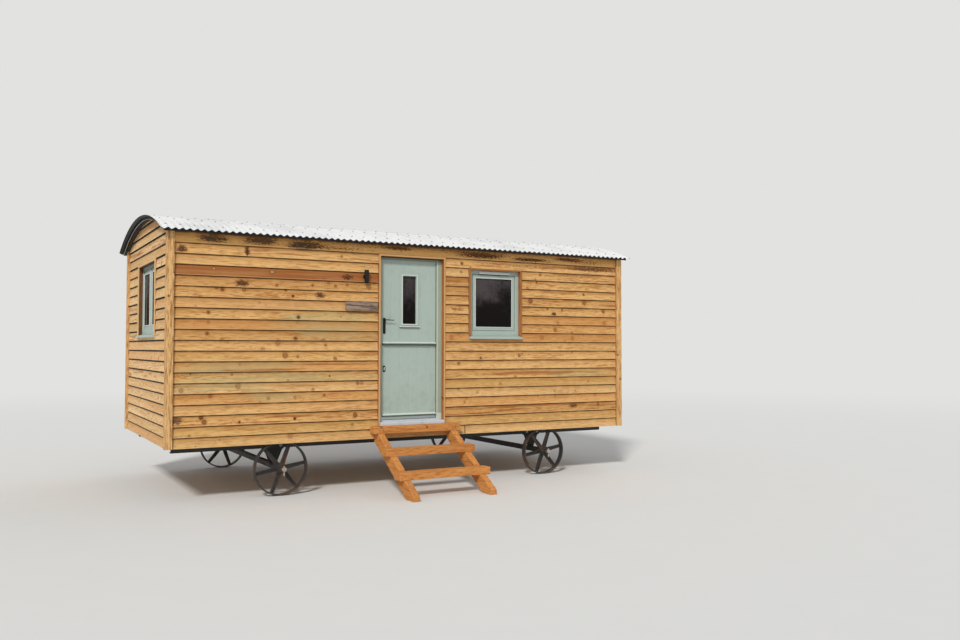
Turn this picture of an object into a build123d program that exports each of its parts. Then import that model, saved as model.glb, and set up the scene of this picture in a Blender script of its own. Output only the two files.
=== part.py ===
"""Shepherds hut: a boarded cabin on iron wheels, with a curved roof, a stable door and steps.

The pieces are built with X from the left gable's posts along the front, Y from the front posts'
faces towards the back, and Z up from the ground. place_hut then moves them all, so that the
origin lies on the ground under the middle of the hut with its steps.
"""

import os
from math import asin, cos, sin, sqrt

from build123d import *

# Body of the hut
hut_length = 5780.0
hut_width = 2700.0
cladding_bottom = 555.0
board_height = 110.0
board_thickness = 18.0
post_width = 75.0
cladding_depth = 40.0
wall_thickness = 95.0
floor_bottom = 600.0
floor_thickness = 95.0
floor_board_thickness = 20.0

# Roof, an arch of one radius from eave to eave
eave_height = 2770.0
roof_rise = 270.0
eave_overhang_width = 90.0
gable_overhang_width = 80.0
sheet_depth = 18.0
deck_thickness = 22.0
deck_setback = 25.0
barge_depth = 24.0
barge_thickness = 22.0
barge_setback = 46.0

# Doorway
door_left = 2325.0
door_width = 808.0
door_sill_bottom = 695.0
door_sill_thickness = 40.0
door_sill_nose = 8.0
door_eave_drop = 148.0
liner_thickness = 20.0
liner_setback = 12.0
frame_recess = 73.0
lock_jamb = 45.0
hinge_jamb = 70.0
door_head_depth = 34.0
door_stop = 12.0
rebate_width = 12.0
threshold_height = 18.0

# Stable door
leaf_thickness = 44.0
leaf_gap = 5.0
lock_side_gap = 7.0
leaf_bottom_gap = 6.0
leaf_split = 1606.0
split_gap = 6.0
weather_bar_height = 36.0
weather_bar_depth = 30.0
weather_bar_inset = 8.0
bottom_bar_rise = 32.0
leaf_board_width = 115.0
groove_width = 6.0
groove_depth = 3.0
pane_left = 2633.0
pane_width = 168.0
pane_bottom = 1855.0
pane_head_drop = 215.0
pane_thickness = 14.0
bead_width = 38.0
bead_depth = 8.0

# Hinges of the stable door, on the room's side
barrel_radius = 8.0
hinge_height = 90.0
hinge_flap = 42.0
flap_thickness = 3.0
knuckle_gap = 0.5
hinge_end_distance = 150.0

# Lever handles on both faces of the upper leaf, and the lower leaf's lock
handle_x = 2402.0
handle_plate_width = 32.0
handle_plate_bottom = 1736.0
handle_plate_height = 184.0
handle_plate_thickness = 8.0
lever_z = 1895.0
lever_length = 120.0
lever_radius = 9.0
lever_reach = 45.0
lock_bottom = 1300.0
lock_height = 74.0
lock_width = 28.0
lock_thickness = 6.0

# Windows
window_recess = 65.0
window_frame_depth = 60.0
window_frame_width = 40.0
mullion_width = 50.0
casement_stile = 58.0
casement_top_rail = 56.0
casement_bottom_rail = 66.0
casement_step = 10.0
window_sill_thickness = 43.0
window_sill_nose = 6.0
window_sill_slope = 20.0
glass_thickness = 24.0
window_eave_drop = 252.0
window_height = 790.0
front_window_left = 3496.0
front_window_width = 706.0
left_window_front = 780.0
left_window_width = 1085.0
left_window_lights = 2

# Wall lamp and name board on the front
lamp_x = 2141.0
lamp_head_drop = 173.0
lamp_height = 150.0
lamp_radius = 25.0
lamp_stand_off = 30.0
lamp_plate_thickness = 8.0
name_board_left = 1906.0
name_board_width = 379.0
name_board_lamp_gap = 211.0
name_board_height = 97.0
name_board_thickness = 20.0

# Wheels and axles
wheel_radius = 290.0
wheel_inset = 1205.0
rim_width = 65.0
rim_thickness = 16.0
wheel_clearance = 8.0
spoke_count = 6
spoke_first_angle = 10.0
spoke_hub_width = 46.0
spoke_rim_width = 34.0
spoke_depth = 30.0
spoke_edge = 8.0
spoke_sink = 12.0
spoke_root = 10.0
hub_radius = 52.0
hub_nose_radius = 38.0
hub_length = 158.0
hub_nose_length = 62.0
hub_back_step = 4.0
spindle_radius = 22.0
spindle_clearance = 0.3
hub_end_gap = 1.0
spindle_end = 24.0
linchpin_width = 12.0
linchpin_thickness = 9.0
linchpin_head = 12.0
linchpin_drop = 70.0
axle_beam = 56.0

# Chassis of steel channel
rail_inset = 330.0
rail_height = 120.0
rail_width = 60.0
channel_web = 8.0
rail_end_setback = 120.0
crossmember_height = 80.0
crossmember_width = 50.0
bracket_length = 220.0
bracket_thickness = 14.0

# Steps
stair_left = 2260.0
stair_width = 990.0
stringer_width = 75.0
stringer_depth = 140.0
step_rise = 213.0
step_going = 346.0
tread_thickness = 80.0
tread_depth = 150.0
tread_overhang = 52.0
top_tread_depth = 112.0
toe_upright = 50.0

mid_y = hut_width / 2
mid_x = hut_length / 2
board_face = cladding_depth - board_thickness
wall_inner = cladding_depth + wall_thickness
floor_top = floor_bottom + floor_thickness
door_head = eave_height - door_eave_drop
window_head = eave_height - window_eave_drop
window_bottom = window_head - window_height
roof_half = mid_y + eave_overhang_width
roof_radius = (roof_half**2 + roof_rise**2) / (2 * roof_rise)
roof_top = eave_height + roof_rise
arch_centre = roof_top - roof_radius
roof_angle = asin(roof_half / roof_radius)
deck_radius = roof_radius - sheet_depth
attic_radius = deck_radius - deck_thickness
leaf_front = frame_recess + door_stop + leaf_gap
leaf_back = leaf_front + leaf_thickness
top_tread_front = board_face - top_tread_depth
top_tread_height = door_sill_bottom
step_slope = step_rise / step_going
stringer_drop = stringer_depth * sqrt(1 + step_slope**2)


def block(x0, x1, y0, y1, z0, z1):
    """Box between two corners."""
    return Pos((x0 + x1) / 2, (y0 + y1) / 2, (z0 + z1) / 2) * Box(x1 - x0, y1 - y0, z1 - z0)


def prism_x(points, x0, x1):
    """Closed outline of (y, z) points, extruded from x0 to x1."""
    outline = Plane.YZ * make_face(Polyline(*points, close=True))
    return Pos(x0, 0, 0) * extrude(outline, amount=x1 - x0)


def mirror_width(piece):
    """The same piece on the other side of the hut's long middle line."""
    return mirror(piece, about=Plane.XZ.offset(-mid_y))


def mirror_length(piece):
    """The same piece at the other end of the hut."""
    return mirror(piece, about=Plane.YZ.offset(mid_x))


# Roof


def arch(outer_radius, thickness, x0, x1, end_setback=0.0):
    """Ring segment over the hut, cut square to the curve near the eaves."""
    angle = roof_angle - end_setback / outer_radius

    def at(radius, turn):
        return (mid_y + radius * sin(turn), arch_centre + radius * cos(turn))

    inner_radius = outer_radius - thickness
    outer = ThreePointArc(at(outer_radius, -angle), at(outer_radius, 0), at(outer_radius, angle))
    inner = ThreePointArc(at(inner_radius, angle), at(inner_radius, 0), at(inner_radius, -angle))
    ends = [Line(outer @ 1, inner @ 0), Line(inner @ 1, outer @ 0)]
    section = Plane.YZ * make_face([outer, ends[0], inner, ends[1]])
    return Pos(x0, 0, 0) * extrude(section, amount=x1 - x0)


def under_roof(piece):
    """Piece trimmed to the curved underside of the roof deck."""
    space = Pos(mid_x, mid_y, arch_centre) * Rot(0, 90, 0) * Cylinder(attic_radius, 2 * hut_length)
    return piece & space


def make_roof():
    verge = -gable_overhang_width
    barge_outer = verge + barge_setback
    barge_inner = barge_outer + barge_thickness
    sheet = arch(roof_radius, sheet_depth, verge, hut_length - verge)
    deck = arch(deck_radius, deck_thickness, barge_inner, hut_length - barge_inner, deck_setback)
    barge = arch(deck_radius, barge_depth, barge_outer, barge_inner, deck_setback)
    return {
        "roof_sheet": sheet,
        "roof_deck": deck,
        "left_barge_board": barge,
        "right_barge_board": mirror_length(barge),
    }


# Floor and walls


def make_floor():
    frame = block(
        cladding_depth, hut_length - cladding_depth,
        cladding_depth, hut_width - cladding_depth,
        floor_bottom, floor_top,
    )
    for x in (0, hut_length - post_width):
        for y in (0, hut_width - post_width):
            frame -= block(x, x + post_width, y, y + post_width, floor_bottom, floor_top)
    boards = block(
        wall_inner, hut_length - wall_inner,
        wall_inner, hut_width - wall_inner,
        floor_top, floor_top + floor_board_thickness,
    )
    return {"floor_frame": frame, "floor_boards": boards}


def make_corner_posts():
    post = under_roof(block(0, post_width, 0, post_width, cladding_bottom, roof_top))
    front = post + mirror_length(post)
    return {"corner_posts": Compound([*front.solids(), *mirror_width(front).solids()])}


def make_skirt_boards():
    top = cladding_bottom + board_height
    front = block(
        post_width, hut_length - post_width, board_face, cladding_depth, cladding_bottom, top
    )
    left = block(
        board_face, cladding_depth, post_width, hut_width - post_width, cladding_bottom, top
    )
    return {"skirt_boards": Compound([front, mirror_width(front), left, mirror_length(left)])}


def front_slab(x0, x1, z0=floor_top, z1=roof_top):
    """Stretch of the front wall."""
    return under_roof(block(x0, x1, cladding_depth, wall_inner, z0, z1))


def gable_slab(y0, y1, z0=floor_top, z1=roof_top):
    """Stretch of the left gable, lapped round the front and back walls at the corners."""
    outer = block(cladding_depth, post_width, y0, y1, z0, z1)
    y0 = max(y0, wall_inner)
    y1 = min(y1, hut_width - wall_inner)
    return under_roof(outer + block(post_width, wall_inner, y0, y1, z0, z1))


def make_walls():
    door_x0 = door_left - liner_thickness
    door_x1 = door_left + door_width + liner_thickness
    window_x0 = front_window_left - liner_thickness
    window_x1 = front_window_left + front_window_width + liner_thickness
    window_z0 = window_bottom - window_sill_thickness
    window_z1 = window_head + liner_thickness
    side_y0 = left_window_front - liner_thickness
    side_y1 = left_window_front + left_window_width + liner_thickness
    return {
        "front_wall_left": front_slab(post_width, door_x0),
        "front_wall_over_door": front_slab(door_x0, door_x1, door_head + liner_thickness),
        "front_wall_between": front_slab(door_x1, window_x0),
        "front_wall_under_window": front_slab(window_x0, window_x1, floor_top, window_z0),
        "front_wall_over_window": front_slab(window_x0, window_x1, window_z1),
        "front_wall_right": front_slab(window_x1, hut_length - post_width),
        "back_wall": mirror_width(front_slab(post_width, hut_length - post_width)),
        "left_gable_front": gable_slab(post_width, side_y0),
        "left_gable_under_window": gable_slab(side_y0, side_y1, floor_top, window_z0),
        "left_gable_over_window": gable_slab(side_y0, side_y1, window_z1),
        "left_gable_back": gable_slab(side_y1, hut_width - post_width),
        "right_gable": mirror_length(gable_slab(post_width, hut_width - post_width)),
    }


# Doorway


def make_doorway():
    x0 = door_left
    x1 = door_left + door_width
    sill_top = door_sill_bottom + door_sill_thickness
    threshold_top = sill_top + threshold_height

    liner = block(
        x0 - liner_thickness, x1 + liner_thickness, liner_setback, wall_inner,
        door_sill_bottom, door_head + liner_thickness,
    )
    liner -= block(x0, x1, liner_setback, wall_inner, door_sill_bottom, door_head)

    sill = block(x0, x1, -door_sill_nose, wall_inner, door_sill_bottom, sill_top)
    sill = chamfer(sill.edges().group_by(Axis.Z)[-1].sort_by(Axis.Y)[0], door_sill_nose)
    sill += block(
        rebate_x0, rebate_x1, frame_recess, wall_inner, sill_top, threshold_top
    )

    rebate = frame_recess + door_stop
    frame = block(x0, x1, frame_recess, wall_inner, sill_top, door_head)
    frame -= block(
        x0 + lock_jamb, x1 - hinge_jamb, frame_recess, wall_inner,
        sill_top, door_head - door_head_depth,
    )
    frame -= block(
        rebate_x0, rebate_x1, rebate, wall_inner,
        sill_top, door_head - door_head_depth + rebate_width,
    )
    frame -= block(rebate_x0, rebate_x1, frame_recess, rebate, sill_top, threshold_top)
    return {"door_liner": liner, "door_sill": sill, "door_frame": frame}


rebate_x0 = door_left + lock_jamb - rebate_width
rebate_x1 = door_left + door_width - hinge_jamb + rebate_width
leaf_x0 = rebate_x0 + lock_side_gap
leaf_x1 = rebate_x1 - leaf_gap
leaf_z0 = door_sill_bottom + door_sill_thickness + threshold_height + leaf_bottom_gap
leaf_z1 = door_head - door_head_depth + rebate_width - leaf_gap
pivot_x = leaf_x1 + leaf_gap / 2
pivot_y = wall_inner + knuckle_gap + barrel_radius


def leaf_slab(z0, z1):
    """Boarded leaf with V grooves between its boards."""
    slab = block(leaf_x0, leaf_x1, leaf_front, leaf_back, z0, z1)
    width = leaf_x1 - leaf_x0
    boards = round(width / leaf_board_width)
    for index in range(1, boards):
        x = leaf_x0 + width * index / boards
        groove = make_face(
            Polyline(
                (x - groove_width / 2, leaf_front), (x, leaf_front + groove_depth),
                (x + groove_width / 2, leaf_front), close=True,
            )
        )
        slab -= Pos(0, 0, z0) * extrude(groove, amount=z1 - z0)
    return slab


def weather_bar(z0):
    """Drip bar across a leaf's front, with a sloping top."""
    slope = weather_bar_height / 2
    points = [
        (leaf_front, z0), (leaf_front - weather_bar_depth, z0),
        (leaf_front - weather_bar_depth, z0 + weather_bar_height - slope),
        (leaf_front, z0 + weather_bar_height),
    ]
    inset = rebate_width + weather_bar_inset
    return prism_x(points, rebate_x0 + inset, rebate_x1 - inset)


def make_upper_leaf():
    z0 = leaf_split + split_gap
    leaf = leaf_slab(z0, leaf_z1) + weather_bar(z0)
    pane_x1 = pane_left + pane_width
    pane_top = door_head - pane_head_drop
    leaf += block(
        pane_left - bead_width, pane_x1 + bead_width, leaf_front - bead_depth, leaf_front,
        pane_bottom - bead_width, pane_top + bead_width,
    )
    leaf -= block(
        pane_left, pane_x1, leaf_front - bead_depth, leaf_back, pane_bottom, pane_top
    )
    pane_front = leaf_front + (leaf_thickness - pane_thickness) / 2
    pane = block(
        pane_left, pane_x1, pane_front, pane_front + pane_thickness, pane_bottom, pane_top
    )
    return {"upper_leaf": leaf, "upper_leaf_glass": pane}


def make_lower_leaf():
    leaf = leaf_slab(leaf_z0, leaf_split) + weather_bar(leaf_z0 + bottom_bar_rise)
    return {"lower_leaf": leaf}


def barrel(z0, z1):
    """Knuckle on the leaves' pivot."""
    return Pos(pivot_x, pivot_y, (z0 + z1) / 2) * Cylinder(barrel_radius, z1 - z0)


def hinge_halves(z):
    """Leaf half with the upper knuckle, and frame half with the lower one, parting at height z."""
    low = z - hinge_height / 2
    high = z + hinge_height / 2
    leaf_knuckle_bottom = z + knuckle_gap
    barrel_side = barrel_radius + knuckle_gap
    leaf_half = block(
        pivot_x - hinge_flap, pivot_x - barrel_side, leaf_back, leaf_back + flap_thickness,
        low, high,
    )
    leaf_half += block(
        pivot_x - hinge_flap, pivot_x, leaf_back, leaf_back + flap_thickness,
        leaf_knuckle_bottom, high,
    )
    leaf_half += barrel(leaf_knuckle_bottom, high)
    frame_half = block(
        pivot_x + barrel_side, pivot_x + hinge_flap, wall_inner, wall_inner + flap_thickness,
        low, high,
    )
    frame_half += block(
        pivot_x, pivot_x + hinge_flap, wall_inner, wall_inner + flap_thickness, low, z
    )
    frame_half += barrel(low, z)
    return leaf_half, frame_half


def make_hinges():
    nodes = {}
    frame_halves = []
    spans = {
        "lower_leaf_hinges": (leaf_z0, leaf_split),
        "upper_leaf_hinges": (leaf_split + split_gap, leaf_z1),
    }
    for name, (z0, z1) in spans.items():
        leaf_halves = []
        for z in (z0 + hinge_end_distance, z1 - hinge_end_distance):
            leaf_half, frame_half = hinge_halves(z)
            leaf_halves.append(leaf_half)
            frame_halves.append(frame_half)
        nodes[name] = Compound([solid for half in leaf_halves for solid in half.solids()])
    nodes["frame_hinges"] = Compound([solid for half in frame_halves for solid in half.solids()])
    return nodes


def make_door_furniture():
    plate = block(
        handle_x - handle_plate_width / 2, handle_x + handle_plate_width / 2,
        leaf_front - handle_plate_thickness, leaf_front,
        handle_plate_bottom, handle_plate_bottom + handle_plate_height,
    )
    outside = plate + block(
        handle_x - lever_radius, handle_x + lever_radius,
        leaf_front - lever_reach - lever_radius, leaf_front,
        lever_z - lever_radius, lever_z + lever_radius,
    )
    lever = Pos(handle_x + lever_length / 2, leaf_front - lever_reach, lever_z) * Rot(0, 90, 0)
    outside += lever * Cylinder(lever_radius, lever_length)
    inside = mirror(outside, about=Plane.XZ.offset(-(leaf_front + leaf_back) / 2))

    slot = Plane.XZ * SlotOverall(lock_height, lock_width, rotation=90)
    lock = extrude(slot, amount=lock_thickness)
    lock = Pos(handle_x, leaf_front, lock_bottom + lock_height / 2) * lock
    handles = Compound([*outside.solids(), *inside.solids()])
    return {"door_handle": handles, "lower_lock": lock}


# Windows, built as if in the front wall and turned for the gable


def window_pieces(x0, width, lights):
    """Liner, sloping sill, frame with its casements, and glass of one window."""
    x1 = x0 + width
    sill_bottom = window_bottom - window_sill_thickness
    sill_front = window_bottom - window_sill_slope
    sill_points = [
        (-window_sill_nose, sill_bottom), (wall_inner, sill_bottom),
        (wall_inner, window_bottom), (window_recess, window_bottom),
        (-window_sill_nose, sill_front),
    ]
    sill = prism_x(sill_points, x0 - liner_thickness, x1 + liner_thickness)
    liner = block(
        x0 - liner_thickness, x1 + liner_thickness, liner_setback, wall_inner,
        sill_front, window_head + liner_thickness,
    )
    liner -= block(x0, x1, liner_setback, wall_inner, sill_front, window_head)
    liner -= sill

    frame_back = window_recess + window_frame_depth
    glass_front = window_recess + (window_frame_depth - glass_thickness) / 2
    light_width = (width - 2 * window_frame_width - (lights - 1) * mullion_width) / lights
    light_z0 = window_bottom + window_frame_width
    light_z1 = window_head - window_frame_width
    glass_z0 = light_z0 + casement_bottom_rail
    glass_z1 = light_z1 - casement_top_rail
    frame = block(x0, x1, window_recess, frame_back, window_bottom, window_head)
    panes = []
    for index in range(lights):
        light_x0 = x0 + window_frame_width + index * (light_width + mullion_width)
        light_x1 = light_x0 + light_width
        glass_x0 = light_x0 + casement_stile
        glass_x1 = light_x1 - casement_stile
        step_back = window_recess + casement_step
        frame -= block(light_x0, light_x1, window_recess, step_back, light_z0, light_z1)
        frame -= block(glass_x0, glass_x1, window_recess, frame_back, glass_z0, glass_z1)
        glass_back = glass_front + glass_thickness
        panes.append(block(glass_x0, glass_x1, glass_front, glass_back, glass_z0, glass_z1))
    return {"liner": liner, "sill": sill, "frame": frame, "glass": Compound(panes)}


def make_windows():
    nodes = {}
    for name, piece in window_pieces(front_window_left, front_window_width, 1).items():
        nodes["front_window_" + name] = piece
    side_x0 = -(left_window_front + left_window_width)
    side = window_pieces(side_x0, left_window_width, left_window_lights)
    for name, piece in side.items():
        nodes["left_window_" + name] = Rot(0, 0, -90) * piece
    return nodes


# Lamp and name board


def make_wall_fittings():
    lamp_y = board_face - lamp_plate_thickness - lamp_stand_off
    lamp_z = door_head - lamp_head_drop - lamp_height / 2
    lamp = Pos(lamp_x, lamp_y, lamp_z) * Cylinder(lamp_radius, lamp_height)
    lamp += block(
        lamp_x - lamp_radius, lamp_x + lamp_radius, board_face - lamp_plate_thickness,
        cladding_depth, lamp_z - lamp_radius, lamp_z + lamp_radius,
    )
    lamp += block(
        lamp_x - lamp_radius / 2, lamp_x + lamp_radius / 2, lamp_y, cladding_depth,
        lamp_z - lamp_radius / 2, lamp_z + lamp_radius / 2,
    )
    name_board_top = lamp_z - lamp_height / 2 - name_board_lamp_gap
    name_board = block(
        name_board_left, name_board_left + name_board_width,
        board_face - name_board_thickness, cladding_depth,
        name_board_top - name_board_height, name_board_top,
    )
    return {"wall_light": lamp, "name_board": name_board}


# Wheels, axles and chassis


def spun(points):
    """Outline of (radius, y) points, turned about the Y axis."""
    outline = make_face(Polyline(*points, close=True))
    return revolve(outline, Axis.Y)


def make_spoke():
    """Tapered spoke along X, sunk on its outer face, with its middle plane at y = 0."""
    rim_inner = wheel_radius - rim_thickness
    root = hub_radius - spoke_root
    tip = rim_inner + spoke_root
    taper = (spoke_rim_width - spoke_hub_width) / (tip - root)

    def outline(x0, x1, margin):
        """Spoke's outline from x0 to x1, drawn in by a margin at both sides."""
        half0 = (spoke_hub_width + taper * (x0 - root)) / 2 - margin
        half1 = (spoke_hub_width + taper * (x1 - root)) / 2 - margin
        corners = Polyline((x0, -half0), (x1, -half1), (x1, half1), (x0, half0), close=True)
        return Plane.XZ * make_face(corners)

    spoke = extrude(outline(root, tip, 0), amount=spoke_depth / 2, both=True)
    sunk = outline(hub_radius + spoke_edge, rim_inner - spoke_edge, spoke_edge)
    return spoke - Pos(0, spoke_sink - spoke_depth / 2, 0) * extrude(sunk, amount=spoke_sink)


def make_wheel():
    """Spoked cast wheel on the Y axis, with its outer rim face at y = 0."""
    middle = rim_width / 2
    rim_inner = wheel_radius - rim_thickness
    rim = spun([(wheel_radius, 0), (wheel_radius, rim_width), (rim_inner, rim_width), (rim_inner, 0)])
    hub_back = rim_width + hub_back_step
    hub_front = hub_back - hub_length
    nose_end = hub_front + hub_nose_length
    bore = spindle_radius + spindle_clearance
    hub = spun(
        [
            (bore, hub_front), (hub_nose_radius, hub_front), (hub_nose_radius, nose_end),
            (hub_radius, nose_end), (hub_radius, hub_back), (bore, hub_back),
        ]
    )
    wheel = rim + hub
    spoke = Pos(0, middle, 0) * make_spoke()
    for index in range(spoke_count):
        turn = spoke_first_angle + 360.0 * index / spoke_count
        wheel += Rot(0, -turn, 0) * spoke
    return wheel


wheel_face = cladding_depth + wheel_clearance
hub_inner = wheel_face + rim_width + hub_back_step
hub_outer = hub_inner - hub_length
spindle_tip = hub_outer - hub_end_gap - spindle_end


def make_wheels():
    wheel = make_wheel()
    front = Pos(wheel_inset, wheel_face, wheel_radius) * wheel
    back = Pos(wheel_inset, hut_width - wheel_face, wheel_radius) * Rot(0, 0, 180) * wheel
    return {
        "wheel_front_left": front,
        "wheel_back_left": back,
        "wheel_front_right": Pos(hut_length - 2 * wheel_inset, 0, 0) * front,
        "wheel_back_right": Pos(hut_length - 2 * wheel_inset, 0, 0) * back,
    }


def round_y(radius, y0, y1):
    """Round bar along Y on the axle's centre line."""
    return Pos(wheel_inset, (y0 + y1) / 2, wheel_radius) * Rot(90, 0, 0) * Cylinder(radius, y1 - y0)


def make_axle():
    """Square beam with a round spindle, a linchpin and a bracket towards each wheel."""
    beam_y = hub_inner + hub_end_gap
    half = axle_beam / 2
    axle = block(
        wheel_inset - half, wheel_inset + half, beam_y, hut_width - beam_y,
        wheel_radius - half, wheel_radius + half,
    )
    pin_inner = hub_outer - hub_end_gap
    spindle = round_y(spindle_radius, spindle_tip, beam_y)
    spindle += block(
        wheel_inset - linchpin_width / 2, wheel_inset + linchpin_width / 2,
        pin_inner - linchpin_thickness, pin_inner,
        wheel_radius - linchpin_drop, wheel_radius + spindle_radius + linchpin_head,
    )
    rail_y0 = rail_inset
    rail_y1 = rail_inset + rail_width
    bracket_top = floor_bottom - rail_height
    web = Plane.XZ * make_face(
        Polyline(
            (wheel_inset - half, wheel_radius), (wheel_inset + half, wheel_radius),
            (wheel_inset + bracket_length / 2, bracket_top),
            (wheel_inset - bracket_length / 2, bracket_top), close=True,
        )
    )
    web_y = (rail_y0 + rail_y1 + bracket_thickness) / 2
    bracket = Pos(0, web_y, 0) * extrude(web, amount=bracket_thickness)
    bracket += block(
        wheel_inset - bracket_length / 2, wheel_inset + bracket_length / 2, rail_y0, rail_y1,
        bracket_top - bracket_thickness, bracket_top,
    )
    return axle + spindle + mirror_width(spindle) + bracket + mirror_width(bracket)


def channel(width, height, web):
    """C section in the local XY plane, open towards +X, with its corner at the origin."""
    return make_face(
        Polyline(
            (0, 0), (width, 0), (width, web), (web, web),
            (web, height - web), (width, height - web), (width, height), (0, height), close=True,
        )
    )


def make_chassis():
    rail_length = hut_length - 2 * rail_end_setback
    section = Plane.YZ * channel(rail_width, rail_height, channel_web)
    rail = extrude(section, amount=rail_length)
    rail = Pos(rail_end_setback, rail_inset, floor_bottom - rail_height) * rail
    inside = rail_inset + rail_width
    cross = []
    stations = [rail_end_setback, wheel_inset, mid_x - crossmember_width / 2]
    for x in (*stations, *(hut_length - x - crossmember_width for x in stations[:2])):
        outline = Plane.XZ * channel(crossmember_width, crossmember_height, channel_web)
        member = extrude(outline, amount=-(hut_width - 2 * inside))
        cross.append(Pos(x, inside, floor_bottom - crossmember_height) * member)
    return {
        "chassis_rails": Compound([rail, mirror_width(rail)]),
        "chassis_crossmembers": Compound(cross),
    }


# Steps


def tread_box(index, x0, x1):
    """Box of one tread: 0 is the top one, against the boards."""
    front = top_tread_front - step_going * index
    top = top_tread_height - step_rise * index
    back = min(front + tread_depth, board_face)
    return block(x0, x1, front, back, top - tread_thickness, top)


def make_steps():
    seat_front = top_tread_front
    seat_height = top_tread_height - tread_thickness

    def line(y):
        return seat_height + step_slope * (y - seat_front)

    toe_y = seat_front + (toe_upright - seat_height) / step_slope
    heel_y = seat_front + (stringer_drop - seat_height) / step_slope
    points = [
        (board_face, line(board_face)), (board_face, line(board_face) - stringer_drop),
        (heel_y, 0), (toe_y, 0), (toe_y, toe_upright),
    ]
    stringers = []
    for x in (stair_left, stair_left + stair_width - stringer_width):
        stringer = prism_x(points, x, x + stringer_width)
        for index in range(3):
            notch = tread_box(index, x, x + stringer_width)
            stringer -= notch + Pos(0, 0, tread_thickness) * notch
        stringers.append(stringer)
    x0 = stair_left - tread_overhang
    x1 = stair_left + stair_width + tread_overhang
    return {
        "left_stringer": stringers[0],
        "right_stringer": stringers[1],
        "top_tread": tread_box(0, x0, x1),
        "middle_tread": tread_box(1, x0, x1),
        "bottom_tread": tread_box(2, x0, x1),
    }


def steps_reach():
    """How far the stringers' toes stand in front of the corner posts."""
    seat_height = top_tread_height - tread_thickness
    return (seat_height - toe_upright) / step_slope - top_tread_front


def make_hut():
    axle = make_axle()
    return {
        **make_floor(),
        **make_walls(),
        **make_corner_posts(),
        **make_skirt_boards(),
        **make_roof(),
        **make_doorway(),
        **make_upper_leaf(),
        **make_lower_leaf(),
        **make_hinges(),
        **make_door_furniture(),
        **make_windows(),
        **make_wall_fittings(),
        **make_wheels(),
        "left_axle": axle,
        "right_axle": Pos(hut_length - 2 * wheel_inset, 0, 0) * axle,
        **make_chassis(),
        **make_steps(),
    }


place_hut = Pos(-mid_x, (steps_reach() - hut_width - eave_overhang_width) / 2, 0)

os.makedirs("parts", exist_ok=True)
for node_name, node in make_hut().items():
    export_step(place_hut * node, os.path.join("parts", node_name + ".step"))
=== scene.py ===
"""Looks of the shepherds hut: its boards, corrugated roof, joinery, ironwork and finishes.

Each sub-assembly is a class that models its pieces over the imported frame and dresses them.
Lengths are metres, and places are worked out from the frame's own nodes. Two directions
count as the same where the cosine between them is over ALIGNED.
"""

import logging
import math
import random
from collections.abc import Callable, Iterator, Sequence
from contextlib import contextmanager
from dataclasses import dataclass, field
from enum import Enum

import bmesh
import bpy
from mathutils import Matrix, Vector


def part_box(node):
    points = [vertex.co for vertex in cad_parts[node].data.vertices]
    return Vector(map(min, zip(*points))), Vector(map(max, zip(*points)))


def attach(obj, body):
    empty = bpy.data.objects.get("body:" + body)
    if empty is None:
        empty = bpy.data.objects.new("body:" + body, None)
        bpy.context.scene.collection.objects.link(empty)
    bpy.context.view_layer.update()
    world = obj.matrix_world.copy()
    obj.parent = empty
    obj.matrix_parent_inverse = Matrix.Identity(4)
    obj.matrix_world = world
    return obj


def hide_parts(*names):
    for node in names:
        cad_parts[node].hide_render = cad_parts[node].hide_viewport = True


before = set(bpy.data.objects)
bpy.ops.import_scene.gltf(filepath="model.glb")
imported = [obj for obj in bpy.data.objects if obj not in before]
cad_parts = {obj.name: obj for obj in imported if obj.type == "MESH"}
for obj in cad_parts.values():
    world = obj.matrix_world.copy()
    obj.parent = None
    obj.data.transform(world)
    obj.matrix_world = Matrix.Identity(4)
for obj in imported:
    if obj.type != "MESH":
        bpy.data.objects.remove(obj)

log = logging.getLogger("shepherds_hut")

HUT = "hut"

FRONT = Vector((0.0, -1.0, 0.0))
UP = Vector((0.0, 0.0, 1.0))
ALIGNED = 0.9

Material = bpy.types.Material
Socket = bpy.types.NodeSocket
Triple = tuple[float, float, float]
Colour = Triple
Finishes = dict[str, Material]
Operand = "Value | float"


def linear(level: float) -> float:
    """Level as it is seen, 0 to 255, turned into linear light."""
    share = level / 255.0
    return share / 12.92 if share <= 0.04045 else ((share + 0.055) / 1.055) ** 2.4


def srgb(red: float, green: float, blue: float) -> Colour:
    """Colour as it is seen, 0 to 255, turned into linear light."""
    return (linear(red), linear(green), linear(blue))


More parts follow.
